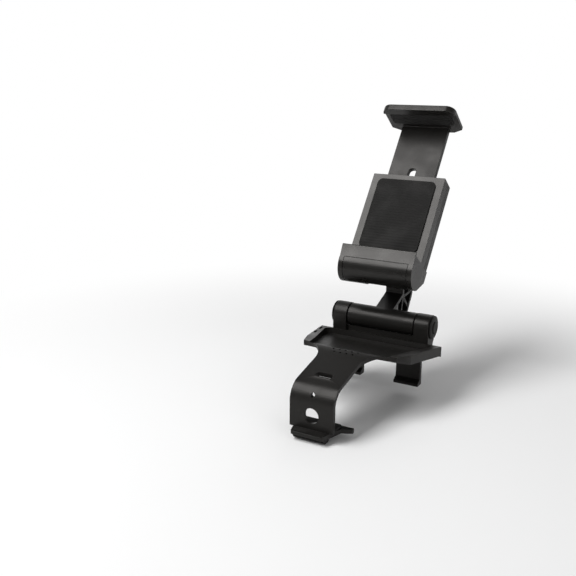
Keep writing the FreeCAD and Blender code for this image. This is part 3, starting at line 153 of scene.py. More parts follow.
class SharedEffects:
    """Node groups that are built once and placed in each material with its own values."""

    def __init__(self) -> None:
        """Build the groups."""
        self.grain = self._mould_grain()
        self.marks = self._handling_marks()
        self.strokes = self._brush_strokes()

    @staticmethod
    def _group(
        name: str, inputs: dict[str, float], outputs: Sequence[str]
    ) -> tuple[bpy.types.NodeTree, Wiring]:
        """Start a group.

        Args:
            name: the group's name.
            inputs: its number inputs and their defaults, after a vector input.
            outputs: its number outputs.

        Returns:
            The group and its wiring.
        """
        group = bpy.data.node_groups.new(name, "ShaderNodeTree")
        group.interface.new_socket("Vector", in_out="INPUT", socket_type="NodeSocketVector")
        for label, default in inputs.items():
            socket = group.interface.new_socket(label, in_out="INPUT", socket_type="NodeSocketFloat")
            socket.default_value = default
        for label in outputs:
            group.interface.new_socket(label, in_out="OUTPUT", socket_type="NodeSocketFloat")
        return group, Wiring(group)

    def _mould_grain(self) -> bpy.types.NodeTree:
        """Return the spark-eroded grain of a mould: fine noise over small cells, and a slow drift of tone."""
        group, wires = self._group("mould_grain", {"Scale": 3200.0, "Cell Share": 0.45}, ("Height", "Tone"))
        start = wires.node("NodeGroupInput")
        fine = wires.node("ShaderNodeTexNoise", Detail=3.0, Roughness=0.62)
        wires.join(start.outputs["Vector"], fine.inputs["Vector"])
        wires.join(start.outputs["Scale"], fine.inputs["Scale"])
        cells = wires.node("ShaderNodeTexVoronoi", feature="SMOOTH_F1")
        wires.join(start.outputs["Vector"], cells.inputs["Vector"])
        wires.join(start.outputs["Scale"], cells.inputs["Scale"])
        share = wires.node("ShaderNodeMix", data_type="FLOAT")
        wires.join(start.outputs["Cell Share"], share.inputs[0])
        wires.join(fine.outputs["Fac"], share.inputs[2])
        wires.join(cells.outputs["Distance"], share.inputs[3])
        drift = wires.node("ShaderNodeTexNoise", Scale=55.0, Detail=4.0, Roughness=0.55)
        wires.join(start.outputs["Vector"], drift.inputs["Vector"])
        end = wires.node("NodeGroupOutput")
        wires.join(share.outputs[0], end.inputs["Height"])
        wires.join(drift.outputs["Fac"], end.inputs["Tone"])
        return group

    def _handling_marks(self) -> bpy.types.NodeTree:
        """Return faint marks of use: soft patches where hands polish a surface, and fine hair-line scuffs."""
        scales = {"Patch Scale": 90.0, "Scuff Scale": 420.0}
        group, wires = self._group("handling_marks", scales, ("Polish", "Scuffs"))
        start = wires.node("NodeGroupInput")
        patch = wires.node("ShaderNodeTexNoise", Detail=2.0, Roughness=0.5)
        wires.join(start.outputs["Vector"], patch.inputs["Vector"])
        wires.join(start.outputs["Patch Scale"], patch.inputs["Scale"])
        steps = wires.node("ShaderNodeMapRange", From_Min=0.42, From_Max=0.68)
        wires.join(patch.outputs["Fac"], steps.inputs[0])
        stretch = wires.node("ShaderNodeMapping", Rotation=(0.4, 0.9, 0.5), Scale=(1.0, 0.06, 1.0))
        wires.join(start.outputs["Vector"], stretch.inputs["Vector"])
        lines = wires.node("ShaderNodeTexNoise", Detail=2.0, Roughness=0.7)
        wires.join(stretch.outputs["Vector"], lines.inputs["Vector"])
        wires.join(start.outputs["Scuff Scale"], lines.inputs["Scale"])
        thin = wires.node("ShaderNodeMapRange", From_Min=0.66, From_Max=0.74)
        wires.join(lines.outputs["Fac"], thin.inputs[0])
        end = wires.node("NodeGroupOutput")
        wires.join(steps.outputs[0], end.inputs["Polish"])
        wires.join(thin.outputs[0], end.inputs["Scuffs"])
        return group

    def _brush_strokes(self) -> bpy.types.NodeTree:
        """Return the drawn lines of turned steel: noise that is long round the part and short along it."""
        group, wires = self._group("brush_strokes", {"Scale": 2600.0}, ("Lines", "Stain"))
        start = wires.node("NodeGroupInput")
        stretch = wires.node("ShaderNodeMapping", Scale=(1.0, 0.08, 0.08))
        wires.join(start.outputs["Vector"], stretch.inputs["Vector"])
        lines = wires.node("ShaderNodeTexNoise", Detail=4.0, Roughness=0.7)
        wires.join(stretch.outputs["Vector"], lines.inputs["Vector"])
        wires.join(start.outputs["Scale"], lines.inputs["Scale"])
        stain = wires.node("ShaderNodeTexNoise", Scale=240.0, Detail=4.0, Roughness=0.6)
        wires.join(start.outputs["Vector"], stain.inputs["Vector"])
        end = wires.node("NodeGroupOutput")
        wires.join(lines.outputs["Fac"], end.inputs["Lines"])
        wires.join(stain.outputs["Fac"], end.inputs["Stain"])
        return group


@dataclass(frozen=True)
class Finish:
    """One finish: a dark and a light tone that the grain drifts between, its gloss, and its grain."""

    name: str
    dark: Triple
    light: Triple
    roughness: float
    spread: float
    grain_scale: float
    grain_depth: float
    metallic: float = 0.0
    specular: float = 0.5
    warmth: float = 0.05
    brushed: bool = False

    def build(self, effects: SharedEffects) -> bpy.types.Material:
        """Wire the material.

        Args:
            effects: the shared node groups.

        Returns:
            The material.
        """
        material = bpy.data.materials.new(self.name)
        material.use_nodes = True
        tree = material.node_tree
        tree.nodes.clear()
        wires = Wiring(tree)
        place = wires.node("ShaderNodeTexCoord")
        pattern = effects.strokes if self.brushed else effects.grain
        grain = wires.node("ShaderNodeGroup", node_tree=pattern, Scale=self.grain_scale)
        marks = wires.node("ShaderNodeGroup", node_tree=effects.marks)
        for item in (grain, marks):
            wires.join(place.outputs["Object"], item.inputs["Vector"])
        tone = wires.node("ShaderNodeMix", data_type="RGBA")
        tone.inputs[6].default_value = (*self.dark, 1.0)
        tone.inputs[7].default_value = (*self.light, 1.0)
        wires.join(grain.outputs["Stain" if self.brushed else "Tone"], tone.inputs[0])
        scuffed = wires.node("ShaderNodeMix", data_type="RGBA", blend_type="ADD")
        faint = tuple(SCUFF_GAIN * channel + SCUFF_LIFT for channel in self.light)
        scuffed.inputs[7].default_value = (*faint, 1.0)
        wires.join(tone.outputs[2], scuffed.inputs[6])
        wires.join(marks.outputs["Scuffs"], scuffed.inputs[0])
        rough, smooth = self.roughness + self.spread, self.roughness - self.spread
        gloss = wires.node("ShaderNodeMapRange", To_Min=rough, To_Max=smooth)
        wires.join(marks.outputs["Polish"], gloss.inputs["Value"])
        bump = wires.node("ShaderNodeBump", Strength=1.0, Distance=self.grain_depth)
        wires.join(grain.outputs["Lines" if self.brushed else "Height"], bump.inputs["Height"])
        tint = (1.0, 1.0 - self.warmth / 2, 1.0 - self.warmth, 1.0)
        shader = wires.node("ShaderNodeBsdfPrincipled", Metallic=self.metallic,
                            Specular_IOR_Level=self.specular, Specular_Tint=tint)
        wires.join(scuffed.outputs[2], shader.inputs["Base Color"])
        wires.join(gloss.outputs[0], shader.inputs["Roughness"])
        wires.join(bump.outputs["Normal"], shader.inputs["Normal"])
        end = wires.node("ShaderNodeOutputMaterial")
        wires.join(shader.outputs[0], end.inputs[0])
        return material


class Palette:
    """Every finish of the clip, by its name here."""

    def __init__(self) -> None:
        """Build the materials."""
        effects = SharedEffects()
        finishes = {
            "moulding": Finish("satin_black_moulding", (0.0080, 0.0075, 0.0069), (0.0128, 0.0121, 0.0112),
                               0.35, 0.04, 2600.0, 0.000012, specular=0.22),
            # The lighter tone of the rounded edges is a painted highlight along the edges, partly edge wear.
            "moulding_edge": Finish("satin_black_edge_wear_and_highlight", (0.0098, 0.0092, 0.0085), (0.0156, 0.0147, 0.0136),
                                    0.30, 0.03, 2600.0, 0.000006, specular=0.32),
            "clamp": Finish("clamp_black", (0.0080, 0.0075, 0.0069), (0.0128, 0.0121, 0.0112),
                            0.27, 0.03, 2600.0, 0.000007, specular=0.30),
            "cover": Finish("cover_black", (0.0062, 0.0058, 0.0054), (0.0098, 0.0092, 0.0085),
                            0.30, 0.03, 2600.0, 0.000007, specular=0.30),
            "cap": Finish("cap_black", (0.0088, 0.0083, 0.0077), (0.0138, 0.0130, 0.0121),
                          0.43, 0.04, 3000.0, 0.000006, specular=0.14),
            "rubber": Finish("grip_rubber", (0.0052, 0.0052, 0.0052), (0.0110, 0.0108, 0.0105),
                             0.78, 0.06, 1800.0, 0.000030, specular=0.35),
            "liner": Finish("liner_rubber", (0.0070, 0.0070, 0.0072), (0.0140, 0.0138, 0.0135),
                            0.86, 0.05, 1200.0, 0.000045, specular=0.3),
            "steel": Finish("zinc_plated_steel", (0.42, 0.42, 0.43), (0.60, 0.60, 0.61),
                            0.33, 0.08, 2600.0, 0.000010, metallic=1.0, warmth=0.0, brushed=True),
            "polymer": Finish("slide_polymer_grey", (0.040, 0.040, 0.042), (0.058, 0.058, 0.060),
                              0.42, 0.05, 3000.0, 0.000010),
        }
        self.materials = {name: finish.build(effects) for name, finish in finishes.items()}

    def __getitem__(self, name: str) -> bpy.types.Material:
        """Return a material by its name here."""
        return self.materials[name]


# Surfaces


@dataclass(frozen=True)
class Stance:
    """Where a surface's own axes stand in the row frame: an origin in millimetres and three directions."""

    origin: Triple
    across: Triple
    along: Triple
    out: Triple

    def place(self, points: Points) -> Points:
        """Carry points into the row frame: origin + x across + y along + z out.

        Args:
            points: rows of x, y, z in millimetres.

        Returns:
            Rows of x, y, z in metres.
        """
        axes = np.array([self.across, self.along, self.out])
        return (np.array(self.origin) + points @ axes) * MM


def grid_faces(rows: int, columns: int, close_columns: bool = False, start: int = 0) -> Faces:
    """Quads of a grid whose point (i, j) has the number start + i * columns + j.

    Args:
        rows: number of rows.
        columns: number of columns.
        close_columns: join the last column to the first.
        start: number of the first point.

    Returns:
        The quads.
    """
    steps = columns if close_columns else columns - 1
    i, j = np.meshgrid(np.arange(rows - 1), np.arange(steps), indexing="ij")
    after = (j + 1) % columns
    here = i * columns
    beyond = here + columns
    quads = np.stack([here + j, beyond + j, beyond + after, here + after], -1)
    return [tuple(quad) for quad in (quads.reshape(-1, 4) + start).tolist()]


def smooth_step(share: Points) -> Points:
    """Return 3 s^2 - 2 s^3 of a share s that is first held between 0 and 1."""
    held = np.clip(share, 0, 1)
    return held**2 * (3 - 2 * held)


def make_object(name: str, points: Points, faces: Faces, material: bpy.types.Material) -> bpy.types.Object:
    """Put a surface into the scene, shaded smooth up to 35 degrees.

    Args:
        name: the object's name.
        points: rows of x, y, z in metres.
        faces: corner numbers of each face.
        material: its finish.

    Returns:
        The object, at the origin.
    """
    mesh = bpy.data.meshes.new(name)
    mesh.from_pydata(points.tolist(), [], faces)
    mesh.materials.append(material)
    mesh.polygons.foreach_set("use_smooth", np.ones(len(mesh.polygons), bool))
    mesh.set_sharp_from_angle(angle=SURFACE_SMOOTH)
    mesh.update()
    item = bpy.data.objects.new(name, mesh)
    bpy.context.scene.collection.objects.link(item)
    return item


@dataclass(frozen=True)
class Slab:
    """A soft pad: a rounded rectangle with a rolled edge and a relief on its outer face, in millimetres."""

    width: float
    depth: float
    thick: float
    corner: float = 1.2
    edge: float = 0.3
    relief: Optional[Relief] = None
    relief_start: float = 0.6
    relief_fade: float = 0.5
    step: float = 0.3
    edge_steps: tuple[float, ...] = (0.0, 0.12, 0.3, 0.6, 1.0)

    def _spread(self, length: float) -> Points:
        """Positions from -1 to 1 in even steps, with closer ones over the rolled edge.

        Args:
            length: the side's length.

        Returns:
            Rising positions.
        """
        even = np.linspace(-1, 1, int(length / self.step) | 1)
        roll = 1 - np.array(self.edge_steps) * self.edge / (length / 2)
        clear = even[np.abs(even) < roll[-1] - 1e-3]
        return np.unique(np.round(np.concatenate([clear, roll, -roll]), 7))

    def surface(self) -> tuple[Points, Faces]:
        """Work out the closed surface.

        The corner squares of the grid are drawn in to quarter discs: x sqrt(1 - y^2/2), y sqrt(1 - x^2/2).
        The top falls by edge - sqrt(edge^2 - (edge - d)^2) at a distance d from the outline. The relief comes
        in by a smooth step that starts at d = relief_start and is done relief_fade further in.

        Returns:
            Points in millimetres and faces.
        """
        across, along = np.meshgrid(self._spread(self.width), self._spread(self.depth), indexing="ij")
        half = np.array([self.width / 2, self.depth / 2])
        plane = np.stack([across, along], -1) * half
        inner = half - self.corner
        into = np.clip((np.abs(plane) - inner) / self.corner, 0, 1)
        both = np.all(into > 0, axis=-1, keepdims=True)
        drawn = inner + self.corner * into * np.sqrt(1 - into[..., ::-1] ** 2 / 2)
        plane = np.sign(plane) * np.where(both, drawn, np.abs(plane))
        q = np.abs(plane) - inner
        inside = self.corner - np.linalg.norm(np.maximum(q, 0), axis=-1) - np.minimum(q.max(-1), 0)
        inside = np.maximum(inside, 0)
        near = self.edge - np.minimum(inside, self.edge)
        top = self.thick - (self.edge - np.sqrt(np.maximum(self.edge**2 - near**2, 0)))
        if self.relief is not None:
            blend = smooth_step((inside - self.relief_start) / self.relief_fade)
            top = top + self.relief(plane[..., 0], plane[..., 1]) * blend
        rows, columns = across.shape
        upper = np.dstack([plane, top]).reshape(-1, 3)
        lower = np.dstack([plane, np.zeros_like(top)]).reshape(-1, 3)
        numbers = np.arange(rows * columns).reshape(rows, columns)
        loop = np.concatenate([numbers[:-1, 0], numbers[-1, :-1], numbers[:0:-1, -1], numbers[0, :0:-1]])
        after = np.roll(loop, -1)
        shift = rows * columns
        sides = np.stack([loop + shift, after + shift, after, loop], -1).tolist()
        faces = grid_faces(rows, columns)
        faces += [tuple(reversed(face)) for face in grid_faces(rows, columns, start=shift)]
        faces += [tuple(side) for side in sides]
        return np.concatenate([upper, lower]), faces


def turned_surface(profile: Sequence[Pair], around: int = 96) -> tuple[Points, Faces]:
    """Surface of revolution about X: (x, r cos t, r sin t), closed by one point at each end of the profile.

    Args:
        profile: (x, r) pairs from pole to pole, with r = 0 at both ends.
        around: number of steps round the axis.

    Returns:
        Points in millimetres and faces that point outwards for a profile of rising x.
    """
    line = np.array(profile)
    turn = np.linspace(0, 2 * math.pi, around, endpoint=False)
    rings = line[1:-1]
    body = np.stack([
        np.repeat(rings[:, :1], around, 1),
        rings[:, 1:] * np.cos(turn),
        rings[:, 1:] * np.sin(turn),
    ], -1).reshape(-1, 3)
    points = np.concatenate([body, [[line[0, 0], 0, 0], [line[-1, 0], 0, 0]]])
    faces = [tuple(reversed(face)) for face in grid_faces(len(rings), around, close_columns=True)]
    steps = np.arange(around)
    following = (steps + 1) % around
    first, last = len(body), len(body) + 1
    base = (len(rings) - 1) * around
    faces += [(first, int(b), int(a)) for a, b in zip(steps, following)]
    faces += [(last, int(base + a), int(base + b)) for a, b in zip(steps, following)]
    return points, faces


def rounded_profile(corners: Sequence[Triple], steps: int = 6, room: float = 2.1) -> list[Pair]:
    """Profile with each corner rounded: a Bezier curve from the tangent point before it to the one after it.

    Args:
        corners: (x, r, round) triples; the first and last are kept sharp.
        steps: points on each rounded corner.
        room: a side is at least this many times as long as the rounding at its end.

    Returns:
        (x, r) pairs.
    """
    made = [corners[0][:2]]
    for before, here, after in zip(corners, corners[1:], corners[2:]):
        point = np.array(here[:2])
        back = np.array(before[:2]) - point
        ahead = np.array(after[:2]) - point
        reach = min(here[2], np.linalg.norm(back) / room, np.linalg.norm(ahead) / room)
        start = point + back / np.linalg.norm(back) * reach
        end = point + ahead / np.linalg.norm(ahead) * reach
        t = np.linspace(0, 1, steps)[:, None]
        curve = (1 - t) ** 2 * start + 2 * t * (1 - t) * point + t**2 * end
        made += [tuple(pair) for pair in curve.tolist()]
    made.append(corners[-1][:2])
    return made


# The clip's sub-assemblies

BASE_HINGE = (0.0, 46.2, 5.3)
TILT_AXIS = (0.0, 38.8, 34.9)
CLAMP_BACK = (0.0, 0.8, -0.6)
CLAMP_UP = (0.0, 0.6, 0.8)
RIGHT = (1.0, 0.0, 0.0)


def on_clamp(back: float, up: float) -> Triple:
    """Return a point on the mid-plane from its distances behind and above the tilt axis, along the clamp."""
    origin = np.array(TILT_AXIS) + back * np.array(CLAMP_BACK) + up * np.array(CLAMP_UP)
    return tuple(origin.tolist())


@dataclass(frozen=True)
class LipTrim:
    """A more upright face and a lower, thinner lip for the lower jaw, in millimetres.

    The sizes are in the clamp's own axes: v runs back and w runs up from the tilt axis.
    """

    jaw_round: float = 8.5
    seam: float = 1.9
    seam_face: float = -8.28
    lip_top: float = 9.8
    top_face: float = -11.2
    inner_face: float = -8.2
    seam_shift: float = -0.4
    top_shift: float = 1.2
    fade_length: float = 5.9
    least_reach: float = 1.5
    deepest: float = -5.0
    shelf: float = 7.1
    lip_back: float = -7.9
    lip_share: float = 0.65

    def __call__(self, points: Points) -> Points:
        """Move the points.

        Above the seam the outer face is a line in v and w from (seam_face, seam) to (top_face, lip_top), and
        below it v = -sqrt(jaw_round^2 - w^2). The face moves by seam_shift at the seam and evenly up to
        top_shift at the lip's top. Below the seam the shift fades out by a smooth step over fade_length. A
        point behind the face moves by the same length times 1 - depth / reach, so that the inner face stays.
        The lip above the shelf keeps lip_share of its height.

        Args:
            points: rows of x, y, z in millimetres, in the row frame.

        Returns:
            The moved points.
        """
        axes = np.array([RIGHT, CLAMP_BACK, CLAMP_UP])
        own = (points - np.array(TILT_AXIS)) @ axes.T
        v, w = own[:, 1], own[:, 2]
        high = w > self.seam
        above = np.clip((w - self.seam) / (self.lip_top - self.seam), 0, 1)
        line = self.seam_face + (self.top_face - self.seam_face) * above
        face = np.where(high, line, -np.sqrt(np.maximum(self.jaw_round**2 - w**2, 0)))
        rising = self.seam_shift + (self.top_shift - self.seam_shift) * above
        fading = self.seam_shift * smooth_step((w - self.seam) / self.fade_length + 1)
        shift = np.where(high, rising, fading)
        reach = np.maximum(self.inner_face - face, self.least_reach)
        share = np.clip(1 - (v - face) / reach, 0, 1) * (v < self.deepest)
        lip = (w > self.shelf) & (v < self.lip_back)
        own[:, 1] = v + shift * share
        own[:, 2] = np.where(lip, self.shelf + (w - self.shelf) * self.lip_share, w)
        return own @ axes + np.array(TILT_AXIS)


def reverse(direction: Triple) -> Triple:
    """Return the opposite direction."""
    return tuple(-part for part in direction)


def finish_piece(item: bpy.types.Object, carrier: Carrier, slot: Slot, *nodes: str) -> bpy.types.Object:
    """Tie a new piece to its body and hide the nodes that it stands for.

    Args:
        item: the piece.
        carrier: the body it rides on.
        slot: the record's slot; not used.
        nodes: the nodes that it replaces.

    Returns:
        The piece.
    """
    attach(item, carrier.value)
    if nodes:
        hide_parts(*nodes)
    LOG.info("%s: %d faces, rides on %s", item.name, len(item.data.polygons), carrier.value)
    return item


@dataclass
class SoftEdged:
    """A moulding with its sharp edges rounded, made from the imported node's own mesh."""

    node: str
    carrier: Carrier
    finish: str = "moulding"
    radius: float = 0.3
    segments: int = 2
    trim: Optional[Callable[[Points], Points]] = None

    def build(self, frame: dict, palette: Palette) -> bpy.types.Object:
        """Copy the node's mesh, merge it and round its edges.

        Args:
            palette: the finishes.

        Returns:
            The new piece, which replaces the node.
        """
        source = frame["nodes"][self.node].data
        mesh = bpy.data.meshes.new(f"{self.node}_soft_edged")
        work = bmesh.new()
        work.from_mesh(source)
        bmesh.ops.remove_doubles(work, verts=work.verts, dist=MERGE_GAP)
        bmesh.ops.dissolve_limit(work, angle_limit=FLAT_ANGLE, verts=work.verts, edges=work.edges)
        work.to_mesh(mesh)
        work.free()
        if self.trim is not None:
            places = np.empty(len(mesh.vertices) * 3)
            mesh.vertices.foreach_get("co", places)
            places = self.trim(places.reshape(-1, 3) / MM) * MM
            mesh.vertices.foreach_set("co", places.ravel())
            mesh.update()
        mesh.materials.clear()
        mesh.materials.append(palette[self.finish])
        # The bevel faces take the lighter edge finish, a painted highlight along the edges with some edge
        # wear.
        mesh.materials.append(palette["moulding_edge"])
        mesh.polygons.foreach_set("material_index", np.zeros(len(mesh.polygons), int))
        mesh.polygons.foreach_set("use_smooth", np.ones(len(mesh.polygons), bool))
        mesh.set_sharp_from_angle(angle=MOULDING_SMOOTH)
        item = bpy.data.objects.new(mesh.name, mesh)
        bpy.context.scene.collection.objects.link(item)
        rounding = item.modifiers.new("rounded_edges", "BEVEL")
        rounding.limit_method = "ANGLE"
        rounding.angle_limit = BEVEL_ANGLE
        rounding.width = self.radius * MM
        rounding.segments = self.segments
        rounding.material = 1
        rounding.harden_normals = True
        rounding.use_clamp_overlap = True
        return finish_piece(item, self.carrier, Slot.MOULDING, self.node)


@dataclass
class Saddle:
    """The saddle: its moulding, liners and hinge caps."""

    rim_slope: float = 6.3
    under: float = -3.2
    liner_x: Pair = (16.0, 24.0)
    liner_y: Pair = (16.0, 37.8)
    liner_thick: float = 0.99
    liner_corner: float = 1.5
    hook_z: float = -27.2
    hook_thick: float = 1.0
    dimple: Pair = (1.6, 0.1)
    ear_face: float = 28.2
    cap_radius: float = 6.3
    cap_rim: float = 1.3
    plugs: Pair = (3.4, 3.9)
    plug_depth: float = 0.7
    groove: float = 0.4
    cap_height: float = 1.4
    button: float = 3.4

    def build(self, frame: dict, palette: Palette) -> None:
        """Build and dress every piece.

        Args:
            palette: the finishes.
        """
        SoftEdged("saddle_shell", Carrier.SADDLE, radius=0.35).build(frame, palette)
        self._liners(palette)
        self._cap("left", -1, self.plugs[0], palette)
        self._cap("right", 1, self.plugs[1], palette)

    def _liners(self, palette: Palette) -> None:
        """Build the three liners, with a dimpled face.

        Args:
            palette: the finishes.
        """
        fall = math.radians(self.rim_slope)
        down = (0.0, -math.sin(fall), -math.cos(fall))
        forward = (0.0, -math.cos(fall), math.sin(fall))
        middle_y = sum(self.liner_y) / 2
        middle_x = sum(self.liner_x) / 2
        length = (self.liner_y[1] - self.liner_y[0]) / math.cos(fall)
        relief = dimples(*self.dimple)
        width = self.liner_x[1] - self.liner_x[0]
        pad = Slab(width, length, self.liner_thick, corner=self.liner_corner, relief=relief)
        for side, sign in (("left", -1), ("right", 1)):
            origin = (sign * middle_x, middle_y, self.under - middle_y * math.tan(fall))
            points, faces = pad.surface()
            stance = Stance(origin, RIGHT, forward, down)
            item = make_object(f"cap_liner_{side}_dimpled", stance.place(points), faces, palette["liner"])
            finish_piece(item, Carrier.SADDLE, Slot.PAD, f"cap_liner_{side}")
        low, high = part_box("hook_liner")
        middle = (low + high) / 2 / MM
        hook = Slab((high.x - low.x) / MM, (high.y - low.y) / MM, self.hook_thick, relief=relief)
        points, faces = hook.surface()
        stance = Stance((middle.x, middle.y, self.hook_z), RIGHT, (0.0, 1.0, 0.0), (0.0, 0.0, 1.0))
        item = make_object("hook_liner_dimpled", stance.place(points), faces, palette["liner"])
        finish_piece(item, Carrier.SADDLE, Slot.PAD, "hook_liner")

    def _cap(self, side: str, sign: int, plug: float, palette: Palette) -> None:
        """Build a hinge end cap: a plug, a groove and a low head with a rolled rim and a raised button.

        Args:
            side: left or right.
            sign: -1 or 1.
            plug: radius of the plug.
            palette: the finishes.
        """
        face = self.ear_face
        inner = face - self.plug_depth
        rim = face + self.groove
        inside_rim = self.cap_radius - self.cap_rim
        corners = [
            (inner, 0, 0),
            (inner, plug, 0.1),
            (face, plug, 0.05),
            (face, inside_rim, 0.05),
            (rim, inside_rim, 0.05),
            (rim, self.cap_radius, 0.12),
            (rim + self.cap_height * 0.2, self.cap_radius, 0.25),
            (rim + self.cap_height * 0.5, inside_rim, 0.5),
            (rim + self.cap_height * 0.6, self.button + 0.15, 0.12),
            (rim + self.cap_height * 0.92, self.button, 0.12),
            (rim + self.cap_height, self.button - 0.35, 0.2),
            (rim + self.cap_height, 0, 0),
        ]
        points, faces = turned_surface(rounded_profile(corners))
        if sign < 0:
            points = points * np.array([-1, 1, 1])
            faces = [tuple(reversed(item)) for item in faces]
        stance = Stance(BASE_HINGE, RIGHT, (0.0, 1.0, 0.0), (0.0, 0.0, 1.0))
        item = make_object(f"hinge_cap_{side}_crowned", stance.place(points), faces, palette["cap"])
        finish_piece(item, Carrier.SADDLE, Slot.CAP, f"hinge_cap_{side}")


@dataclass
class ElbowArm:
    """The elbow arm with its ribbed neck."""

    def build(self, frame: dict, palette: Palette) -> None:
        """Build and dress the arm.

        Args:
            palette: the finishes.
        """
        SoftEdged("arm_link", Carrier.ARM, radius=0.25).build(frame, palette)


def ribs(pitch: float, height: float) -> Relief:
    """Soft ribs across a pad: -height (1 - cos(2 pi y / pitch)) / 2, so that their crests keep the face."""
    return lambda x, y: -height * (0.5 - 0.5 * np.cos(2 * math.pi * y / pitch))


def dimples(pitch: float, depth: float) -> Relief:
    """Round dimples on a square net: -depth times the square of cos cos, where that product is positive."""
    wave = 2 * math.pi / pitch
    return lambda x, y: -depth * np.maximum(np.cos(wave * x) * np.cos(wave * y), 0) ** 2


@dataclass
class SlidingClamp:
    """The clamp: its shells, cover, pads, screws and sliding jaw."""

    shelf: float = 7.1
    grip: float = 91.2
    screw_x: float = 17.6
    screw_rows: Pair = (22.0, 51.0)
    screw_seat: float = 10.5
    pad_thick: float = 0.8
    back_ribs: Pair = (1.65, 0.22)
    jaw_ribs: Pair = (1.45, 0.25)

    def build(self, frame: dict, palette: Palette) -> None:
        """Build and dress every piece.

        Args:
            palette: the finishes.
        """
        trim = LipTrim()
        mouldings = (
            SoftEdged("clamp_front", Carrier.CLAMP, finish="clamp", radius=0.35, trim=trim),
            SoftEdged("clamp_back", Carrier.CLAMP, radius=0.3),
            SoftEdged("jaw_front_cover", Carrier.CLAMP, finish="cover", radius=0.12, trim=trim),
            SoftEdged("jaw_slider", Carrier.JAW, radius=0.35),
        )
        for moulding in mouldings:
            moulding.build(frame, palette)
        self._pads(palette)
        self._screws(palette)

    def _pads(self, palette: Palette) -> None:
        """Build the three rubber pads.

        Args:
            palette: the finishes.
        """
        front = reverse(CLAMP_BACK)
        thick = self.pad_thick
        on_back, on_jaw = ribs(*self.back_ribs), ribs(*self.jaw_ribs)
        plans = (
            ("phone_back_pad", Slab(34.0, 42.9, thick, corner=3.0, relief=on_back),
             Stance(on_clamp(thick, 33.55), RIGHT, CLAMP_UP, front), Carrier.CLAMP),
            ("lower_jaw_pad", Slab(36.0, 8.8, thick, corner=1.0, relief=on_jaw),
             Stance(on_clamp(-3.7, self.shelf), RIGHT, CLAMP_BACK, CLAMP_UP), Carrier.CLAMP),
            ("upper_jaw_pad", Slab(36.0, 9.4, thick, corner=1.0, relief=on_jaw),
             Stance(on_clamp(-5.1, self.grip), RIGHT, front, reverse(CLAMP_UP)), Carrier.JAW),
        )
        for node, slab, stance, carrier in plans:
            points, faces = slab.surface()
            item = make_object(f"{node}_ribbed", stance.place(points), faces, palette["rubber"])
            finish_piece(item, carrier, Slot.PAD, node)

    def _screws(self, palette: Palette) -> None:
        """Build the four housing screws as one mesh, with crowned heads and cross recesses.

        Args:
            palette: the finishes.
        """
        points, faces = Screw().surface()
        every: list[Points] = []
        joined: Faces = []
        for x in (-self.screw_x, self.screw_x):
            for up in self.screw_rows:
                seat = (x, *on_clamp(self.screw_seat, up)[1:])
                stance = Stance(seat, reverse(RIGHT), CLAMP_UP, CLAMP_BACK)
                shift = len(points) * len(every)
                every.append(stance.place(points))
                joined += [tuple(corner + shift for corner in face) for face in faces]
        item = make_object("housing_screws_crossed", np.concatenate(every), joined, palette["steel"])
        finish_piece(item, Carrier.CLAMP, Slot.STEEL, "housing_screws")


@dataclass(frozen=True)
class Screw:
    """A screw along z with a crowned head and a cross recess, in millimetres."""

    head: float = 2.1
    height: float = 1.5
    crown: float = 0.22
    shank: float = 1.1
    length: float = 8.0
    tip: float = 0.6
    tip_share: float = 0.45
    recess: float = 0.55
    arm_half: float = 0.34
    arm_wall: float = 0.12
    arm_share: float = 0.62
    arm_end: float = 0.25
    roll: float = 0.1
    roll_drop: float = 0.25
    around: int = 64

    def surface(self) -> tuple[Points, Faces]:
        """Work out the closed surface, as rings of polar points.

        The head's top lies at height - crown (r / head)^2, less roll_drop times the square of how far a point
        lies into the rolled rim. It falls by recess times a smooth step of how far a point lies inside the
        nearer arm of the cross, whose arms end at arm_share of the head's radius.

        Returns:
            Points in millimetres and faces.
        """
        turn = np.linspace(0, 2 * math.pi, self.around, endpoint=False)
        radii = np.concatenate([np.linspace(0.06, 1 - self.roll, 16), [0.94, 0.97, 0.99, 1.0]]) * self.head
        ring, angle = np.meshgrid(radii, turn, indexing="ij")
        x, y = ring * np.cos(angle), ring * np.sin(angle)
        beside = np.minimum(np.abs(x), np.abs(y))
        outwards = np.maximum(np.abs(x), np.abs(y))
        across = np.clip((self.arm_half - beside) / self.arm_wall, 0, 1)
        along = np.clip((self.arm_share * self.head - outwards) / self.arm_end, 0, 1)
        rolled = np.clip((ring / self.head - (1 - self.roll)) / self.roll, 0, 1)
        z = self.height - self.crown * (ring / self.head) ** 2 - self.roll_drop * rolled**2
        z = z - self.recess * smooth_step(across * along)
        rings = list(np.stack([x, y, z], -1))
        tip_level = self.tip - self.length
        for radius, level in ((self.head, 0.0), (self.shank, 0.0), (self.shank, tip_level),
                              (self.shank * self.tip_share, -self.length)):
            levels = np.full(self.around, level)
            rings.append(np.stack([radius * np.cos(turn), radius * np.sin(turn), levels], -1))
        poles = [[0, 0, self.height - self.recess], [0, 0, -self.length]]
        points = np.concatenate(rings + [poles])
        faces = grid_faces(len(rings), self.around, close_columns=True)
        top, bottom = len(points) - 2, len(points) - 1
        base = (len(rings) - 1) * self.around
        following = (np.arange(self.around) + 1) % self.around
        faces += [(top, k, int(n)) for k, n in enumerate(following)]
        faces += [(bottom, base + int(n), base + k) for k, n in enumerate(following)]
        return points, faces


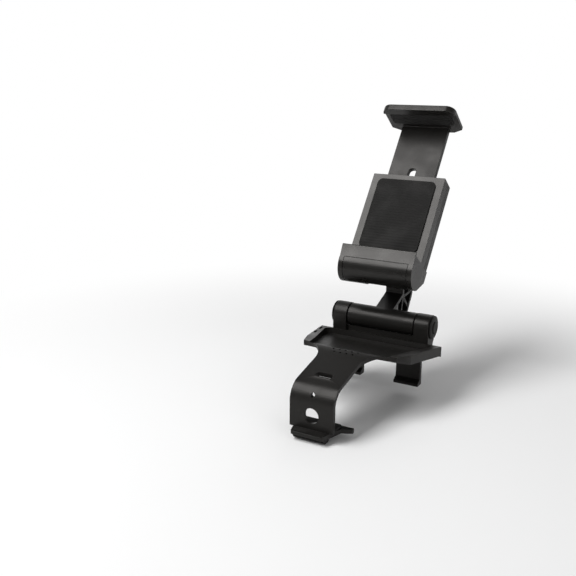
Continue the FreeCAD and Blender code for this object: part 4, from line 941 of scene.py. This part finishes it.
@dataclass
class PlainPieces:
    """Nodes that keep their own mesh and only take a finish."""

    def build(self, frame: dict, palette: Palette) -> None:
        """Give each node its finish.

        Args:
            palette: the finishes.
        """
        plan = {
            "steel": ("hinge_bolt", "hinge_nut", "hinge_spring_washer",
                      "tilt_pin", "stop_pin", "brake_spring"),
            "polymer": ("hinge_washer_left", "hinge_washer_right", "lower_bush", "upper_bush",
                        "tilt_washer_left", "tilt_washer_right", "brake_shoe_left", "brake_shoe_right"),
            "moulding": ("friction_collar_left", "friction_collar_right"),
            "cap": ("tilt_plug",),
        }
        for finish, nodes in plan.items():
            for node in nodes:
                item = frame["nodes"][node]
                item.data.materials.clear()
                item.data.materials.append(palette[finish])
                LOG.info("%s: finish %s", node, finish)


@dataclass(frozen=True)
class SoftBox:
    """A rectangular lamp: place, direction of the long side, size in metres and power in watts."""

    name: str
    place: Triple
    long_side: Triple
    size: Pair
    power: float

    def hang(self, aim: Vector) -> None:
        """Put the lamp into the scene.

        Args:
            aim: the point that it faces.
        """
        lamp = bpy.data.lights.new(self.name, "AREA")
        lamp.shape = "RECTANGLE"
        lamp.size, lamp.size_y = self.size
        lamp.energy = self.power
        item = bpy.data.objects.new(self.name, lamp)
        away = (Vector(self.place) - aim).normalized()
        upright = Vector(self.long_side)
        upright = (upright - upright.dot(away) * away).normalized()
        turn = Matrix((upright.cross(away), upright, away)).transposed()
        item.matrix_world = Matrix.Translation(self.place) @ turn.to_4x4()
        bpy.context.scene.collection.objects.link(item)


@dataclass
class Studio:
    """World, floor, lamps and camera, in metres."""

    floor: float = -0.0325
    floor_half: float = 1.6
    floor_tone: float = 0.93
    room: float = 0.27
    backdrop_y: Pair = (-0.15, 0.45)
    backdrop_z: Pair = (0.25, 0.62)
    shadow_start: float = 0.153
    shadow_end: float = 0.34
    aim: Triple = (0.0, 0.035, 0.03)
    lens: float = 50.0
    sensor: float = 36.0
    camera: Triple = (0.1678, -0.3410, 0.1400)
    look: Triple = (-0.4903, 0.8291, -0.2689)
    side: Triple = (0.8607, 0.5090, 0.0)
    up: Triple = (-0.1369, 0.2314, 0.9632)

    def build(self) -> None:
        """Set the scene up."""
        self._world()
        self._floor()
        self._lamps()
        self._camera()

    def _world(self) -> None:
        """Make a dim room that shows as white to the camera, with a white backdrop low behind the clip.

        A direction's share of backdrop is a smooth step of its y, times a smooth step down of its z.
        """
        world = bpy.data.worlds.new("studio_world")
        bpy.context.scene.world = world
        world.use_nodes = True
        tree = world.node_tree
        tree.nodes.clear()
        wires = Wiring(tree)
        path = wires.node("ShaderNodeLightPath")
        place = wires.node("ShaderNodeTexCoord")
        parts = wires.node("ShaderNodeSeparateXYZ")
        behind = wires.node("ShaderNodeMapRange", interpolation_type="SMOOTHSTEP",
                            From_Min=self.backdrop_y[0], From_Max=self.backdrop_y[1])
        low = wires.node("ShaderNodeMapRange", interpolation_type="SMOOTHSTEP",
                         From_Min=self.backdrop_z[0], From_Max=self.backdrop_z[1], To_Min=1.0, To_Max=0.0)
        wires.join(place.outputs["Generated"], parts.inputs[0])
        wires.join(parts.outputs["Y"], behind.inputs[0])
        wires.join(parts.outputs["Z"], low.inputs[0])
        backdrop = wires.node("ShaderNodeMath", operation="MULTIPLY")
        wires.join(behind.outputs[0], backdrop.inputs[0])
        wires.join(low.outputs[0], backdrop.inputs[1])
        mirrored = wires.node("ShaderNodeMath", operation="MULTIPLY")
        wires.join(backdrop.outputs[0], mirrored.inputs[0])
        wires.join(path.outputs["Is Glossy Ray"], mirrored.inputs[1])
        through = wires.node("ShaderNodeMath", operation="MAXIMUM")
        wires.join(path.outputs["Is Transmission Ray"], through.inputs[0])
        wires.join(mirrored.outputs[0], through.inputs[1])
        seen = wires.node("ShaderNodeMath", operation="MAXIMUM")
        wires.join(path.outputs["Is Camera Ray"], seen.inputs[0])
        wires.join(through.outputs[0], seen.inputs[1])
        dim = wires.node("ShaderNodeBackground", Color=(1, 1, 1, 1), Strength=self.room)
        white = wires.node("ShaderNodeBackground", Color=(1, 1, 1, 1), Strength=1.0)
        mixed = wires.node("ShaderNodeMixShader")
        end = wires.node("ShaderNodeOutputWorld")
        wires.join(seen.outputs[0], mixed.inputs[0])
        wires.join(dim.outputs[0], mixed.inputs[1])
        wires.join(white.outputs[0], mixed.inputs[2])
        wires.join(mixed.outputs[0], end.inputs[0])

    def _floor(self) -> None:
        """Lay a plain pale floor that keeps the shadow near the clip and runs out into white further off."""
        corners = self.floor_half * np.array([(-1, -1), (1, -1), (1, 1), (-1, 1)])
        points = np.column_stack([corners, np.full(4, self.floor)])
        material = bpy.data.materials.new("pale_floor")
        material.use_nodes = True
        tree = material.node_tree
        tree.nodes.clear()
        wires = Wiring(tree)
        pale = (self.floor_tone, self.floor_tone, self.floor_tone, 1.0)
        plain = wires.node("ShaderNodeBsdfPrincipled", Base_Color=pale, Roughness=0.95,
                           Specular_IOR_Level=0.1)
        place = wires.node("ShaderNodeTexCoord")
        reach = wires.node("ShaderNodeVectorMath", operation="LENGTH")
        far = wires.node("ShaderNodeMapRange", interpolation_type="SMOOTHSTEP",
                         From_Min=self.shadow_start, From_Max=self.shadow_end)
        wires.join(place.outputs["Object"], reach.inputs[0])
        wires.join(reach.outputs["Value"], far.inputs[0])
        path = wires.node("ShaderNodeLightPath")
        shown = wires.node("ShaderNodeMath", operation="MULTIPLY")
        wires.join(far.outputs[0], shown.inputs[0])
        wires.join(path.outputs["Is Camera Ray"], shown.inputs[1])
        white = wires.node("ShaderNodeEmission", Color=(1, 1, 1, 1), Strength=1.0)
        mixed = wires.node("ShaderNodeMixShader")
        end = wires.node("ShaderNodeOutputMaterial")
        wires.join(shown.outputs[0], mixed.inputs[0])
        wires.join(plain.outputs[0], mixed.inputs[1])
        wires.join(white.outputs[0], mixed.inputs[2])
        wires.join(mixed.outputs[0], end.inputs[0])
        make_object("studio_floor", points, [(0, 1, 2, 3)], material)

    def _lamps(self) -> None:
        """Hang three soft boxes: a long one overhead on the front left, one behind, a fill on the right."""
        boxes = (
            SoftBox("main_box", (-0.326, -0.38, 0.700), (0.0, 0.848, 0.530), (0.35, 0.70), 6.6),
            SoftBox("rim_box", (-0.10, 0.75, 0.55), (0.0, -0.6, 0.8), (0.40, 0.40), 0.8),
            SoftBox("fill_box", (0.85, -0.30, 0.35), (0.0, 0.0, 1.0), (0.50, 0.50), 1.0),
        )
        for box in boxes:
            box.hang(Vector(self.aim))

    def _camera(self) -> None:
        """Stand the camera where the photograph was taken from."""
        data = bpy.data.cameras.new("photo_camera")
        data.lens = self.lens
        data.sensor_width = self.sensor
        data.clip_start = 0.01
        item = bpy.data.objects.new("photo_camera", data)
        away = [-part for part in self.look]
        item.matrix_world = Matrix([
            (self.side[0], self.up[0], away[0], self.camera[0]),
            (self.side[1], self.up[1], away[1], self.camera[1]),
            (self.side[2], self.up[2], away[2], self.camera[2]),
            (0, 0, 0, 1),
        ])
        bpy.context.scene.collection.objects.link(item)
        bpy.context.scene.camera = item


def main() -> None:
    """Load the frame, build the clip in order and set up the studio."""
    logging.basicConfig(level=logging.INFO, format="%(message)s")
    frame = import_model()
    palette = Palette()
    for assembly in (Saddle(), ElbowArm(), SlidingClamp(), PlainPieces()):
        assembly.build(frame, palette)
    Studio().build()
    bpy.context.scene.view_settings.view_transform = "Standard"


if __name__ == "__main__":
    main()
